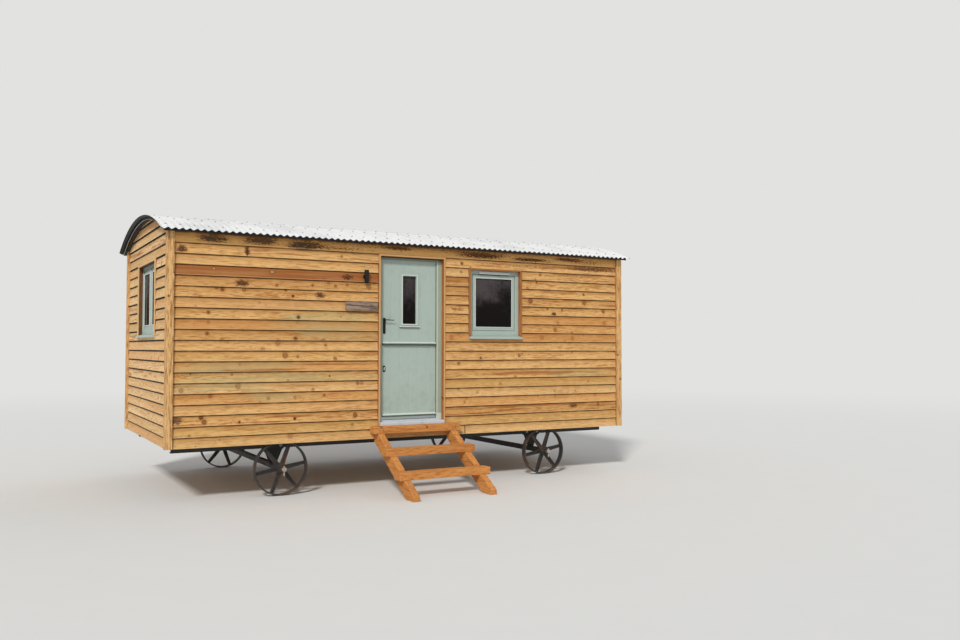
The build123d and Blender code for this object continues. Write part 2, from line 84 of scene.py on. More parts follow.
class Value:
    """Number socket with arithmetic, where each operation adds a Math node."""

    def __init__(self, tree: "Tree", socket: Socket) -> None:
        """Wraps an output of a tree."""
        self.tree, self.socket = tree, socket

    def math(self, operation: str, *others: Operand) -> "Value":
        """Result of a Math node that has this value first."""
        return self.tree.math(operation, self, *others)

    def __add__(self, other: Operand) -> "Value":
        """This value plus another."""
        return self.math("ADD", other)

    def __sub__(self, other: Operand) -> "Value":
        """This value less another."""
        return self.math("SUBTRACT", other)

    def __rsub__(self, other: Operand) -> "Value":
        """A number less this value."""
        return self.tree.math("SUBTRACT", other, self)

    def __mul__(self, other: Operand) -> "Value":
        """This value times another."""
        return self.math("MULTIPLY", other)

    def __truediv__(self, other: Operand) -> "Value":
        """This value over another."""
        return self.math("DIVIDE", other)

    def __pow__(self, other: Operand) -> "Value":
        """This value to a power."""
        return self.math("POWER", other)

    __radd__, __rmul__ = __add__, __mul__

    def between(self, low: float, high: float) -> "Value":
        """Smooth step that is 0 at low and 1 at high, falling where low is the larger.

        Args:
            low: Where the result is 0.
            high: Where the result is 1.

        Returns:
            The stepped value.
        """
        rising = low <= high
        ends = {
            "From Min": min(low, high), "From Max": max(low, high),
            "To Min": 0.0 if rising else 1.0, "To Max": 1.0 if rising else 0.0,
        }
        node = self.tree.node(
            "ShaderNodeMapRange", {"interpolation_type": "SMOOTHSTEP"}, {"Value": self, **ends}
        )
        return Value(self.tree, node.outputs["Result"])


class Along(Enum):
    """Direction that a timber's fibres run in."""

    LENGTH = (0, 2, 1)
    WIDTH = (1, 2, 0)
    HEIGHT = (2, 0, 1)


class Tree:
    """Node tree written as expressions."""

    def __init__(self, tree: bpy.types.NodeTree) -> None:
        """Empties a node tree to write in it."""
        self.tree = tree
        self.tree.nodes.clear()

    def feed(self, target: Socket, given: object) -> None:
        """Links an input, or sets it where a number or a colour is given.

        Args:
            target: The input.
            given: A value, an output, a number or a colour.
        """
        if isinstance(given, Value):
            given = given.socket
        if isinstance(given, Socket):
            self.tree.links.new(given, target)
        elif isinstance(given, tuple) and target.type == "RGBA":
            target.default_value = (*given, 1.0)
        else:
            target.default_value = given

    def node(
        self, kind: str, settings: dict[str, object] | None = None,
        sockets: dict[str, object] | None = None,
    ) -> bpy.types.Node:
        """Adds a node, sets it up, then sets or links its inputs.

        Args:
            kind: The node's type.
            settings: Properties, which are set first.
            sockets: What feeds each input, by the input's identifier or name.

        Returns:
            The new node.
        """
        node = self.tree.nodes.new(kind)
        for key, setting in (settings or {}).items():
            setattr(node, key, setting)
        inputs = {socket.identifier: socket for socket in node.inputs}
        for key, given in (sockets or {}).items():
            self.feed(inputs.get(key, node.inputs.get(key)), given)
        return node

    def math(self, operation: str, *operands: Operand) -> Value:
        """Result of a Math node on values or numbers, in the node's order."""
        ends = dict(zip(("Value", "Value_001", "Value_002"), operands))
        return Value(self, self.node("ShaderNodeMath", {"operation": operation}, ends).outputs[0])

    def numbers(self, vector: Socket) -> tuple[Value, Value, Value]:
        """The three numbers of a vector or a colour."""
        split = self.node("ShaderNodeSeparateXYZ", {}, {"Vector": vector})
        return tuple(Value(self, socket) for socket in split.outputs)


class Shade(Tree):
    """Node tree of one material, read along the hut, across it and in height."""

    def __init__(self, name: str) -> None:
        """Starts a material with its Principled shader.

        Args:
            name: The material's name.
        """
        self.material = bpy.data.materials.new(name)
        self.material.use_nodes = True
        super().__init__(self.material.node_tree)
        self.surface = self.node("ShaderNodeBsdfPrincipled")
        self.output = self.node(
            "ShaderNodeOutputMaterial", {}, {"Surface": self.surface.outputs[0]}
        )
        self.here = self.node("ShaderNodeTexCoord").outputs["Object"]
        self.place = self.numbers(self.here)

    def attribute(self, name: str) -> tuple[Value, Value, Value]:
        """Three numbers that a piece carries in a colour attribute, or 0 where it has none."""
        read = self.node("ShaderNodeAttribute", {"attribute_name": name})
        return self.numbers(read.outputs["Vector"])

    def noise(self, point: Socket, scale: float, detail: float = 2.0) -> Value:
        """Cloudy pattern, mostly 0.3 to 0.7, with a scale and octaves of finer clouds."""
        sockets = {"Vector": point, "Scale": scale, "Detail": detail}
        return Value(self, self.node("ShaderNodeTexNoise", {}, sockets).outputs[0])

    def point(self, x: Operand, y: Operand, z: Operand) -> Socket:
        """Joins three numbers into a point."""
        return self.node("ShaderNodeCombineXYZ", {}, {"X": x, "Y": y, "Z": z}).outputs[0]

    def drawn(self, at: Sequence[Operand], scale: Sequence[float], detail: float = 2.0) -> Value:
        """Cloudy pattern with a scale of its own along each axis."""
        point = self.point(*(number * times for number, times in zip(at, scale)))
        return self.noise(point, 1.0, detail)

    def blend(self, low: object, high: object, share: Operand) -> Socket:
        """Mixes two colours or outputs, with a share of the second."""
        sockets = {"Factor_Float": share, "A_Color": low, "B_Color": high}
        return self.node("ShaderNodeMix", {"data_type": "RGBA"}, sockets).outputs[2]

    def bump(self, height: Value, distance: float) -> None:
        """Raises the surface by a height pattern of 0 to 1, and 1 by a distance."""
        node = self.node("ShaderNodeBump", {}, {"Height": height, "Distance": distance})
        self.feed(self.surface.inputs["Normal"], node.outputs[0])

    def finish(self, colour: object, roughness: Operand, **others: Operand) -> Material:
        """Sets the shader's colour, roughness and other inputs.

        Args:
            colour: A colour or an output.
            roughness: A number or a value.
            others: Numbers or values for other inputs, named with _ for a space.

        Returns:
            The finished material.
        """
        given = {"Base Color": colour, "Roughness": roughness}
        given |= {key.replace("_", " "): source for key, source in others.items()}
        for key, source in given.items():
            self.feed(self.surface.inputs[key], source)
        return self.material


@dataclass(frozen=True)
class Grain:
    """Patterns of one timber that its colour and relief are mixed from."""

    late_wood: Value
    fibre: Value
    cloud: Value
    flame: Value
    fleck: Value
    dead_knot: Value
    live_knot: Value
    halo: Value


@dataclass(frozen=True)
class Timber:
    """Softwood with growth rings, knots and fibres that run one way."""

    name: str
    pale: Colour
    late: Colour
    knot_colour: Colour
    knot_wood: Colour = field(default=srgb(146, 88, 42), kw_only=True)
    along: Along
    ring_width: float = 0.0055
    ring_strength: float = 0.42
    knot_radius: float = 0.011
    knot_spacing: float = 0.27
    knot_share: float = 0.62
    tone_range: float = 0.26
    streaks: float = 2.6
    fleck_share: float = 0.6
    gloss: float = 0.25
    roughness: float = 0.72
    fibre_rough: float = 0.2
    relief: float = 0.0006
    heart_depth: float = 0.07
    cloud_scale: Triple = (0.9, 5.0, 5.0)
    flame_scale: Triple = (1.7, 34.0, 34.0)
    fibre_scale: Triple = (5.0, 420.0, 420.0)
    fleck_scale: Triple = (11.0, 95.0, 95.0)

    def knots(self, shade: Shade, at: Sequence[Value]) -> list[Value]:
        """Scatters knots of different sizes, some dead and dark and some live with a ring.

        Args:
            shade: The material.
            at: Place along the fibres, across the board and in its depth.

        Returns:
            Dead knots, live knots' rings, the halo round both, and how far the rings are pulled.
        """
        along, across, _ = at
        sockets = {"Vector": shade.point(along, across, 0.0), "Scale": 1.0 / self.knot_spacing}
        cells = shade.node("ShaderNodeTexVoronoi", {"voronoi_dimensions": "2D"}, sockets)
        centre = shade.numbers(cells.outputs["Position"])
        kind, size, lot = shade.numbers(cells.outputs["Color"])
        off_along, off_across = along - centre[0], across - centre[1]
        wobble = (shade.noise(shade.point(*at), 130.0) - 0.5) * 0.9
        near = (off_along * off_along + off_across * off_across) ** 0.5
        reach = near / (size * self.knot_radius + self.knot_radius * 0.35) + wobble
        there = lot.between(self.knot_share, self.knot_share - 0.01)
        dead = reach.between(1.15, 0.8) * kind.between(0.5, 0.52) * there
        ring = reach.between(1.5, 1.2) * reach.between(0.7, 1.0)
        live = ring * kind.between(0.52, 0.5) * there
        halo = reach.between(3.2, 1.0) * there
        swirl = ((off_along * 0.32) ** 2.0 + off_across * off_across) ** 0.5
        pull = (swirl * swirl * -900.0).math("EXPONENT") * there
        return [dead, live, halo, pull]

    def grain(self, shade: Shade, seed: Value) -> Grain:
        """Works out the timber's patterns.

        Args:
            shade: The material that they go into.
            seed: The board's own number, which moves its patterns.

        Returns:
            The patterns.
        """
        along, across, depth = (shade.place[axis] for axis in self.along.value)
        along = along + seed * 31.0
        across = across + seed * 7.3
        at = along, across, depth
        cloud = shade.drawn(at, self.cloud_scale)
        flame = shade.drawn(at, self.flame_scale, 3.0)
        dead, live, halo, pull = self.knots(shade, at)
        run_out = (along * 0.35 + seed * 9.0).math("SINE") * 0.03
        off_heart = across + seed * 0.4
        off_heart = off_heart - off_heart.math("ROUND")
        wide = depth + self.heart_depth + run_out
        ring = (off_heart * off_heart * 0.35 + wide * wide) ** 0.5
        phase = ring / self.ring_width + cloud * 3.0 + pull * 3.2
        late = ((phase * math.tau).math("SINE") * 0.5 + 0.5).between(0.45, 1.0)
        fibre = shade.drawn(at, self.fibre_scale, 3.0)
        fleck = shade.drawn(at, self.fleck_scale, 3.0)
        return Grain(late, fibre, cloud, flame, fleck, dead, live, halo)

    def colour(self, shade: Shade, grain: Grain) -> Socket:
        """Mixes the bare timber's colour.

        Args:
            shade: The material.
            grain: Its patterns.

        Returns:
            The colour.
        """
        share = grain.late_wood * self.ring_strength + (grain.fibre - 0.5) * 0.8
        share = share + (grain.flame - 0.5) * self.streaks + (grain.fleck - 0.5) * 1.5
        colour = shade.blend(self.pale, self.late, share)
        darker = tuple(level * (1.0 - self.tone_range) for level in self.late)
        lighter = tuple(min(1.0, level * 1.12) for level in self.pale)
        for tone, cover in (
            (darker, (grain.cloud - 0.45) * 1.2),
            (darker, grain.fleck.between(0.5, 0.68) * self.fleck_share),
            (lighter, grain.fleck.between(0.48, 0.32) * self.fleck_share),
            (self.late, grain.halo * 0.6),
            (self.knot_wood, grain.halo.between(0.7, 1.0) * 0.55),
            (self.knot_colour, grain.live_knot * 0.9),
            (self.knot_colour, grain.dead_knot * 0.95),
        ):
            colour = shade.blend(colour, tone, cover)
        return colour

    def marked(self, shade: Shade, colour: Socket, grain: Grain) -> Socket:
        """Leaves the bare timber as it is, where a kind of timber has no marks of its own."""
        return colour

    def dress(self) -> Material:
        """Makes the timber's material.

        Returns:
            The material.
        """
        shade = Shade(self.name)
        grain = self.grain(shade, shade.attribute("plank")[0])
        colour = self.marked(shade, self.colour(shade, grain), grain)
        shade.bump(grain.fibre * 0.5 + grain.late_wood * 0.35 - grain.dead_knot * 0.4, self.relief)
        rough = grain.fibre * self.fibre_rough + (self.roughness - self.fibre_rough / 2)
        return shade.finish(colour, rough, Specular_IOR_Level=self.gloss)


@dataclass(frozen=True)
class Patch:
    """Oval mark on a wall, by its middle and half its size."""

    along: float
    height: float
    half_length: float
    half_height: float


@dataclass(frozen=True)
class BoardTimber(Timber):
    """Cladding timber, tinted and marked by the weather in the places that the hut shows, with
    painted shade under its laps and painted light under the eave.
    """

    fibre_rough: float = 0.18
    lowest_lap: float = 0.665
    pitch: float = 0.11
    # Painted shade under each lap and at the board ends: where it falls and its colour.
    lap_shadow: tuple[float, float] = (0.80, 0.97)
    lap_dirt: Colour = srgb(74, 44, 20)
    red: Colour = srgb(152, 84, 36)
    # Painted light on the top row of boards, against the shadow that the eave casts on it.
    sheltered: Colour = srgb(255, 196, 116)
    shelter_line: float = 9.0
    yellow: Colour = srgb(212, 176, 108)
    orange: Colour = srgb(214, 150, 86)
    green_tint: Colour = srgb(176, 170, 122)
    mould: Colour = srgb(60, 52, 42)
    rust_fringe: Colour = srgb(134, 76, 34)
    lap_share: float = 0.5
    bleach: Colour = srgb(230, 196, 142)
    stains: tuple[Patch, ...] = ()
    browned: tuple[Patch, ...] = ()
    burrs: tuple[Patch, ...] = ()
    tints: tuple[Patch, ...] = ()
    spots: tuple[Patch, ...] = ()
    eyes: tuple[Patch, ...] = ()
    hearts: tuple[Patch, ...] = ()
    plugs: tuple[Patch, ...] = ()

    def nearness(self, shade: Shade, patches: Sequence[Patch]) -> Value:
        """Nearness to the nearest patch: 1 at its middle, 0 at its edge and less outside.

        Args:
            shade: The material.
            patches: The patches.

        Returns:
            The nearness.
        """
        along, height = shade.place[self.along.value[0]], shade.place[2]
        nearest = along * 0.0 - 9.0
        for patch in patches:
            off_along = (along - patch.along) / patch.half_length
            off_height = (height - patch.height) / patch.half_height
            away = (off_along * off_along + off_height * off_height) ** 0.5
            nearest = nearest.math("MAXIMUM", 1.0 - away)
        return nearest

    def knots(self, shade: Shade, at: Sequence[Value]) -> list[Value]:
        """Adds the wall's own large knots to the scattered ones.

        Args:
            shade: The material.
            at: Place along the fibres, across the board and in its depth.

        Returns:
            Dead knots, live knots' rings, the halo round both, and how far the rings are pulled.
        """
        dead, live, halo, pull = scattered = super().knots(shade, at)
        if not self.spots:
            return scattered
        along, across, _ = at
        wobble = (shade.noise(shade.point(along, across, 0.0), 90.0) - 0.5) * 0.7
        spot = 1.0 - self.nearness(shade, self.spots) + wobble
        uneven = (shade.noise(shade.point(along, across, 3.0), 42.0, 3.0) - 0.5) * 1.2
        eye = 1.0 - self.nearness(shade, self.eyes) + uneven
        near = spot.math("MINIMUM", eye)
        heart = eye.between(0.5, 0.25) * 0.8
        broken = shade.noise(shade.point(along, across, 8.0), 55.0).between(0.3, 0.55)
        ring = eye.between(1.35, 1.05) * eye.between(0.45, 0.8) * (broken * 0.7 + 0.15)
        return [
            dead.math("MAXIMUM", spot.between(1.15, 0.75)),
            live.math("MAXIMUM", ring + heart),
            halo.math("MAXIMUM", near.between(2.4, 0.9)),
            pull + (near * near * -0.3).math("EXPONENT"),
        ]

    def marks(self, shade: Shade, colour: Socket, grain: Grain) -> Socket:
        """Adds the green tints, the red hearts, the brown weathering with painted shade along the
        eave, the burrs and the mould.

        Args:
            shade: The material.
            colour: The timber's colour.
            grain: Its patterns.

        Returns:
            The marked colour.
        """
        if not self.spots:
            return colour
        along, height = shade.place[self.along.value[0]], shade.place[2]
        mottle = shade.drawn((along, height, 0.0), (34.0, 60.0, 1.0), 4.0)
        soot = shade.drawn((along, height, 5.0), (9.0, 70.0, 1.0), 6.0)
        drift = shade.drawn((along, height, 0.0), (2.4, 16.0, 1.0), 3.0)
        clear = 1.0 - grain.dead_knot.math("MAXIMUM", grain.live_knot)
        tint = (self.nearness(shade, self.tints) + drift * 1.6).between(0.75, 1.35)
        heart = self.nearness(shade, self.hearts) + (drift - 0.5) * 1.2
        # Brown weathering, which along the eave row is also painted shade.
        brown = self.nearness(shade, self.browned).math("MINIMUM", 0.7) + (drift - 0.5) * 0.7
        burr = self.nearness(shade, self.burrs)
        bark = (burr.math("MINIMUM", 0.7) + mottle * 2.0).between(1.15, 1.65)
        stain = self.nearness(shade, self.stains) + (drift - 0.5) * 0.8
        blotch = (stain.math("MINIMUM", 0.6) + soot * 1.6 + mottle * 1.1).between(1.45, 1.95)
        plug = self.nearness(shade, self.plugs)
        for tone, cover in (
            (self.green_tint, tint * (grain.flame * 1.6 - 0.35) * clear),
            (self.red, heart.between(0.0, 0.5) * grain.flame.between(0.38, 0.58) * 0.75),
            (self.rust_fringe, (brown + mottle * 1.9).between(1.3, 1.85) * 0.75),
            (self.rust_fringe, (burr + mottle * 0.8).between(0.3, 0.9) * 0.45),
            (self.knot_colour, bark * burr.between(-0.1, 0.25) * 0.9),
            (self.rust_fringe, (stain + mottle * 0.9).between(0.35, 0.9) * 0.5),
            (self.mould, blotch * stain.between(-0.2, 0.35) * 0.9),
            (self.knot_colour, plug.between(-0.35, 0.0) * 0.6),
            (self.bleach, plug.between(0.05, 0.4) * mottle),
        ):
            colour = shade.blend(colour, tone, cover)
        return colour

    def marked(self, shade: Shade, colour: Socket, grain: Grain) -> Socket:
        """Tones each board, marks it, paints shade up its face, under the lap above and at its
        ends, paints light on the row under the eave, and gives it a pale lower arris of painted
        highlight and bleached wear.

        Args:
            shade: The material.
            colour: The timber's colour.
            grain: Its patterns.

        Returns:
            The cladding's colour.
        """
        seed, tone, redness = shade.attribute("plank")
        start, end, _ = shade.attribute("reach")
        along, height = shade.place[self.along.value[0]], shade.place[2]
        up_board = ((height - self.lowest_lap) / self.pitch).math("FRACT")
        deeper = tuple(level * 0.74 for level in self.late)
        hue = (seed * 37.0).math("FRACT")
        heart = grain.flame.between(0.5, 0.66) * hue.between(0.42, 0.46) * hue.between(0.6, 0.56)
        lit_eave_row = height.between(self.shelter_line, self.shelter_line + 0.01)
        for shift_to, cover in (
            (self.bleach, tone.between(0.45, 1.0) * 0.35),
            (deeper, tone.between(0.4, 0.0) * 0.35),
            (self.orange, hue.between(0.6, 1.0) * 0.45),
            (self.yellow, hue.between(0.4, 0.0) * 0.4),
            (self.red, heart * 0.7),
            (self.red, redness * (grain.flame * 0.5 + 0.62)),
            # Painted light on the top row, against the eave's shadow.
            (self.sheltered, lit_eave_row * (1.1 - grain.fleck * 0.7)),
        ):
            colour = shade.blend(colour, shift_to, cover)
        colour = self.marks(shade, colour, grain)
        patchy = shade.drawn((along, height, seed), (7.0, 7.0, 9.0), 3.0).between(0.2, 0.6)
        # Painted shade: each board darkens up its face towards the lap above.
        colour = shade.blend(colour, deeper, up_board.between(0.3, 0.9) * (patchy * 0.3 + 0.2))
        # Painted shade under the lap above and at the board ends, beside joints, posts and liners.
        under_lap = up_board.between(*self.lap_shadow) * (patchy * 0.4 + self.lap_share)
        at_end = (along - start).math("MINIMUM", end - along).between(0.011, 0.002)
        colour = shade.blend(colour, self.lap_dirt, under_lap.math("MAXIMUM", at_end * 0.75))
        # Pale lower arris of each board: partly painted highlight, partly bleached wear.
        return shade.blend(colour, self.bleach, up_board.between(0.1, 0.03) * 0.4)


@dataclass(frozen=True)
class LinerTimber(Timber):
    """Reveal timber: oiled inside the opening, with a paler planed front edge."""

    front_edge: Colour = srgb(216, 170, 114)
    edge_share: float = 0.8
    edge_depth: float = 0.004
    edge_place: float = 0.0
    edge_axis: int = 1

    def marked(self, shade: Shade, colour: Socket, grain: Grain) -> Socket:
        """Lightens the front edge.

        Args:
            shade: The material.
            colour: The timber's colour.
            grain: Its patterns; not used.

        Returns:
            The colour with its pale edge.
        """
        edge = self.edge_place + self.edge_depth
        at_front = shade.place[self.edge_axis].between(edge, edge - 0.002)
        return shade.blend(colour, self.front_edge, at_front * self.edge_share)


@dataclass(frozen=True)
class InnerBoards(Timber):
    """Tongued boards inside the room, with a V joint between them, and painted shade, near black,
    outside the walls.
    """

    board: float = 0.095
    # Painted shade for the boards outside the room, under the roof's overhangs.
    outside: Colour = srgb(30, 26, 24)
    room_low: tuple[float, float] = (0.0, 0.0)
    room_high: tuple[float, float] = (0.0, 0.0)

    def dress(self) -> Material:
        """Makes the inner boards' material.

        Returns:
            The material.
        """
        shade = Shade(self.name)
        grain = self.grain(shade, shade.attribute("plank")[0])
        across = shade.place[self.along.value[1]]
        from_joint = ((across / self.board).math("FRACT") - 0.5).math("ABSOLUTE")
        joint = from_joint.between(0.485, 0.5)
        colour = shade.blend(self.colour(shade, grain), self.knot_colour, joint * 0.8)
        # Painted shade: near black outside the room's walls, where the overhangs are.
        for place, low, high in zip(shade.place, self.room_low, self.room_high):
            half = (high - low) / 2
            painted_shade_outside = (place - (low + half)).math("ABSOLUTE").between(half, half + 0.004)
            colour = shade.blend(colour, self.outside, painted_shade_outside)
        shade.bump(grain.fibre * 0.2 - joint, 0.002)
        return shade.finish(colour, self.roughness)


@dataclass(frozen=True)
class Band:
    """Stripe of another tone on a painted piece, between two places along an axis, used for
    painted shadows and highlights.
    """

    axis: int
    low: float
    high: float
    tone: Colour
    share: float
    fade: float = 0.002

    def cover(self, place: Sequence[Value]) -> Value:
        """How much of the tone a place has."""
        past_low = place[self.axis].between(self.low - self.fade, self.low)
        return past_low * place[self.axis].between(self.high + self.fade, self.high) * self.share


@dataclass(frozen=True)
class Paint:
    """Brushed paint on timber, faintly uneven, with a little grime."""

    name: str
    colour: Colour
    along: Along
    roughness: float = 0.48
    grime: Colour = srgb(112, 116, 98)
    grime_share: float = 0.10
    wear: Colour = srgb(196, 168, 126)
    wear_share: float = 0.35
    splash_top: float = 0.0
    splash_fade: float = 0.3
    bands: tuple[Band, ...] = ()
    gloss: float = 0.5
    brush_scale: Triple = (3.0, 260.0, 260.0)

    def dress(self) -> Material:
        """Makes the paint's material.

        Returns:
            The material.
        """
        shade = Shade(self.name)
        brush = shade.drawn([shade.place[axis] for axis in self.along.value], self.brush_scale)
        cloud = shade.noise(shade.here, 1.6, 3.0)
        patch = shade.noise(shade.here, 11.0, 4.0)
        pale = tuple(min(1.0, level * 1.05) for level in self.colour)
        deep = tuple(level * 0.93 for level in self.colour)
        colour = shade.blend(deep, pale, cloud * 0.8 + brush * 0.2)
        soiled = patch.between(0.48, 0.75) * self.grime_share
        if self.splash_top > 0.0:
            low = shade.place[2].between(self.splash_top, self.splash_top - self.splash_fade)
            soiled = soiled + low * patch.between(0.4, 0.65) * 0.12
        colour = shade.blend(colour, self.grime, soiled)
        # The bands paint light and shade: shadows under bars and heads, highlights on slopes and
        # arrises, lit strips.
        for band in self.bands:
            colour = shade.blend(colour, band.tone, band.cover(shade.place))
        chip = shade.noise(shade.here, 60.0, 3.0).between(0.75, 0.76)
        colour = shade.blend(colour, self.wear, chip * self.wear_share)
        shade.bump(brush * 0.6 - chip, 0.0004)
        rough = patch * 0.16 + (self.roughness - 0.08)
        return shade.finish(colour, rough, Specular_IOR_Level=self.gloss)


@dataclass(frozen=True)
class RoofMetal:
    """Pale coated corrugated sheet, dulled by rain that runs from the crown to the eaves, with
    painted shade on its underside.
    """

    name: str
    coat: Colour = srgb(233, 233, 233)
    shade_colour: Colour = srgb(216, 217, 218)
    dirt: Colour = srgb(158, 154, 146)
    # Painted shade: the colour of the sheet's downward faces, near black.
    underside: Colour = srgb(12, 10, 9)
    gloss: float = 0.22
    roughness: float = 0.42
    run_scale: Triple = (22.0, 1.1, 1.1)

    def dress(self) -> Material:
        """Makes the roof's material.

        Returns:
            The material.
        """
        shade = Shade(self.name)
        run = shade.drawn(shade.place, self.run_scale, 4.0)
        cloud = shade.noise(shade.here, 2.0, 3.0)
        speck = shade.noise(shade.here, 60.0, 3.0)
        facing = shade.numbers(shade.node("ShaderNodeNewGeometry").outputs["True Normal"])[2]
        colour = shade.blend(self.shade_colour, self.coat, cloud.between(0.3, 0.6))
        colour = shade.blend(colour, self.dirt, run.between(0.55, 0.8) * 0.22)
        colour = shade.blend(colour, self.dirt, speck.between(0.6, 0.72) * 0.4)
        # Painted shade: faces that turn downward take the near-black underside colour.
        colour = shade.blend(colour, self.underside, facing.between(0.04, -0.04))
        shade.bump(speck * 0.3 + cloud * 0.7, 0.0004)
        return shade.finish(colour, run * 0.2 + self.roughness, Specular_IOR_Level=self.gloss)


@dataclass(frozen=True)
class Iron:
    """Painted iron that has rusted in patches, dusty near the ground."""

    name: str
    coat: Colour
    rust: Colour = srgb(96, 56, 38)
    bloom: Colour = srgb(134, 86, 58)
    rust_from: float = 0.5
    rust_share: float = 0.85
    dust: Colour = srgb(120, 104, 84)
    dust_height: float = 0.25
    roughness: float = 0.6
    pit: float = 0.0008

    def marked(self, shade: Shade, colour: Socket, patch: Value) -> Socket:
        """Lays dust on the iron near the ground."""
        cover = shade.place[2].between(self.dust_height, 0.0) * patch.between(0.35, 0.6) * 0.35
        return shade.blend(colour, self.dust, cover)

    def dress(self) -> Material:
        """Makes the iron's material.

        Returns:
            The material.
        """
        shade = Shade(self.name)
        patch = shade.noise(shade.here, 9.0, 5.0)
        pits = shade.noise(shade.here, 210.0, 3.0)
        rusted = (patch * 0.8 + pits * 0.2).between(self.rust_from, self.rust_from + 0.12)
        rust = shade.blend(self.rust, self.bloom, pits.between(0.45, 0.7))
        colour = shade.blend(self.coat, rust, rusted * self.rust_share)
        shade.bump(pits * 0.6 + rusted * 0.5, self.pit)
        return shade.finish(self.marked(shade, colour, patch), rusted * 0.25 + self.roughness)


@dataclass(frozen=True)
class AxleIron(Iron):
    """Black axle whose linchpins, outside the wheels' hubs, are bright and bare."""

    bloom: Colour = srgb(96, 56, 38)
    rust_share: float = 0.8
    pin: Colour = srgb(176, 166, 150)
    middle: float = 0.0
    pin_reach: float = 1.0

    def marked(self, shade: Shade, colour: Socket, patch: Value) -> Socket:
        """Bares the pins.

        Args:
            shade: The material.
            colour: The iron's colour.
            patch: Cloudy pattern that the rust follows.

        Returns:
            The colour with bare pins.
        """
        away = (shade.place[1] - self.middle).math("ABSOLUTE")
        pin = shade.blend(self.pin, self.rust, patch.between(0.52, 0.7) * 0.7)
        return shade.blend(colour, pin, away.between(self.pin_reach - 0.003, self.pin_reach))


@dataclass(frozen=True)
class Bright:
    """Plated or polished metal with a light grain and dull patches."""

    name: str
    colour: Colour = srgb(186, 188, 190)
    dull: Colour = srgb(120, 118, 112)
    roughness: float = 0.38
    metallic: float = 0.9
    scratch_scale: Triple = (60.0, 60.0, 900.0)

    def dress(self) -> Material:
        """Makes the metal's material.

        Returns:
            The material.
        """
        shade = Shade(self.name)
        cloud = shade.noise(shade.here, 30.0, 4.0)
        colour = shade.blend(self.colour, self.dull, cloud.between(0.45, 0.75))
        shade.bump(shade.drawn(shade.place, self.scratch_scale), 0.0001)
        return shade.finish(colour, cloud * 0.3 + self.roughness, Metallic=self.metallic)


@dataclass(frozen=True)
class BlackCoat:
    """Satin black coating with a fine orange peel and faint dust."""

    name: str
    colour: Colour = srgb(15, 15, 19)
    dust: Colour = srgb(96, 92, 86)
    roughness: float = 0.42
    gloss: float = 0.25

    def dress(self) -> Material:
        """Makes the coating's material.

        Returns:
            The material.
        """
        shade = Shade(self.name)
        cloud = shade.noise(shade.here, 24.0, 4.0)
        colour = shade.blend(self.colour, self.dust, cloud.between(0.5, 0.8) * 0.15)
        shade.bump(shade.noise(shade.here, 420.0, 1.0), 0.00015)
        rough = cloud * 0.25 + (self.roughness - 0.1)
        return shade.finish(colour, rough, Specular_IOR_Level=self.gloss)


@dataclass(frozen=True)
class Pane:
    """Window glass painted near black as the shade of the room behind it, with a faint painted
    reflection of the sky in its upper part.
    """

    name: str
    bottom: float
    top: float
    # Near black: painted shade of the room behind the glass; the next colour is a painted sky
    # reflection.
    colour: Colour = srgb(15, 10, 6)
    sky: Colour = srgb(104, 96, 98)
    sky_share: float = 0.55
    gloss: float = 0.12
    ripple_scale: Triple = (30.0, 30.0, 22.0)
    film_scale: Triple = (2.0, 2.0, 6.0)

    def dress(self) -> Material:
        """Makes the glass's material.

        Returns:
            The material.
        """
        shade = Shade(self.name)
        cloud = shade.noise(shade.here, 3.4, 5.0)
        ripple = shade.drawn(shade.place, self.ripple_scale, 3.0)
        film = shade.drawn(shade.place, self.film_scale, 3.0)
        up = shade.place[2].between(self.bottom, self.top)
        # Painted reflection of the sky, stronger towards the top of the pane.
        seen = (cloud * 0.75 + ripple * 0.25 + up * 0.36).between(0.6, 0.95)
        shade.bump(ripple, 0.00003)
        return shade.finish(
            shade.blend(self.colour, self.sky, seen * self.sky_share),
            film.between(0.4, 0.8) * 0.06 + 0.04, Specular_IOR_Level=self.gloss,
            Alpha=film.between(0.35, 0.75) * 0.06 + (seen * 0.04 + 0.86),
        )


def idle() -> None:
    """Leaves edit mode and deselects everything."""
    if bpy.context.object is not None and bpy.context.object.mode != "OBJECT":
        bpy.ops.object.mode_set(mode="OBJECT")
    bpy.ops.object.select_all(action="DESELECT")


def shift(x: float, y: float, z: float) -> Matrix:
    """Move by three distances."""
    return Matrix.Translation((x, y, z))


def centre(node: str) -> Vector:
    """Middle of a node's box."""
    low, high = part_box(node)
    return (low + high) / 2


def add_modifier(obj: bpy.types.Object, kind: str, **settings: object) -> bpy.types.Modifier:
    """Adds a modifier to an object.

    Args:
        obj: The object.
        kind: The modifier's type.
        settings: Its properties.

    Returns:
        The modifier.
    """
    modifier = obj.modifiers.new(kind.title(), kind)
    for key, setting in settings.items():
        setattr(modifier, key, setting)
    return modifier


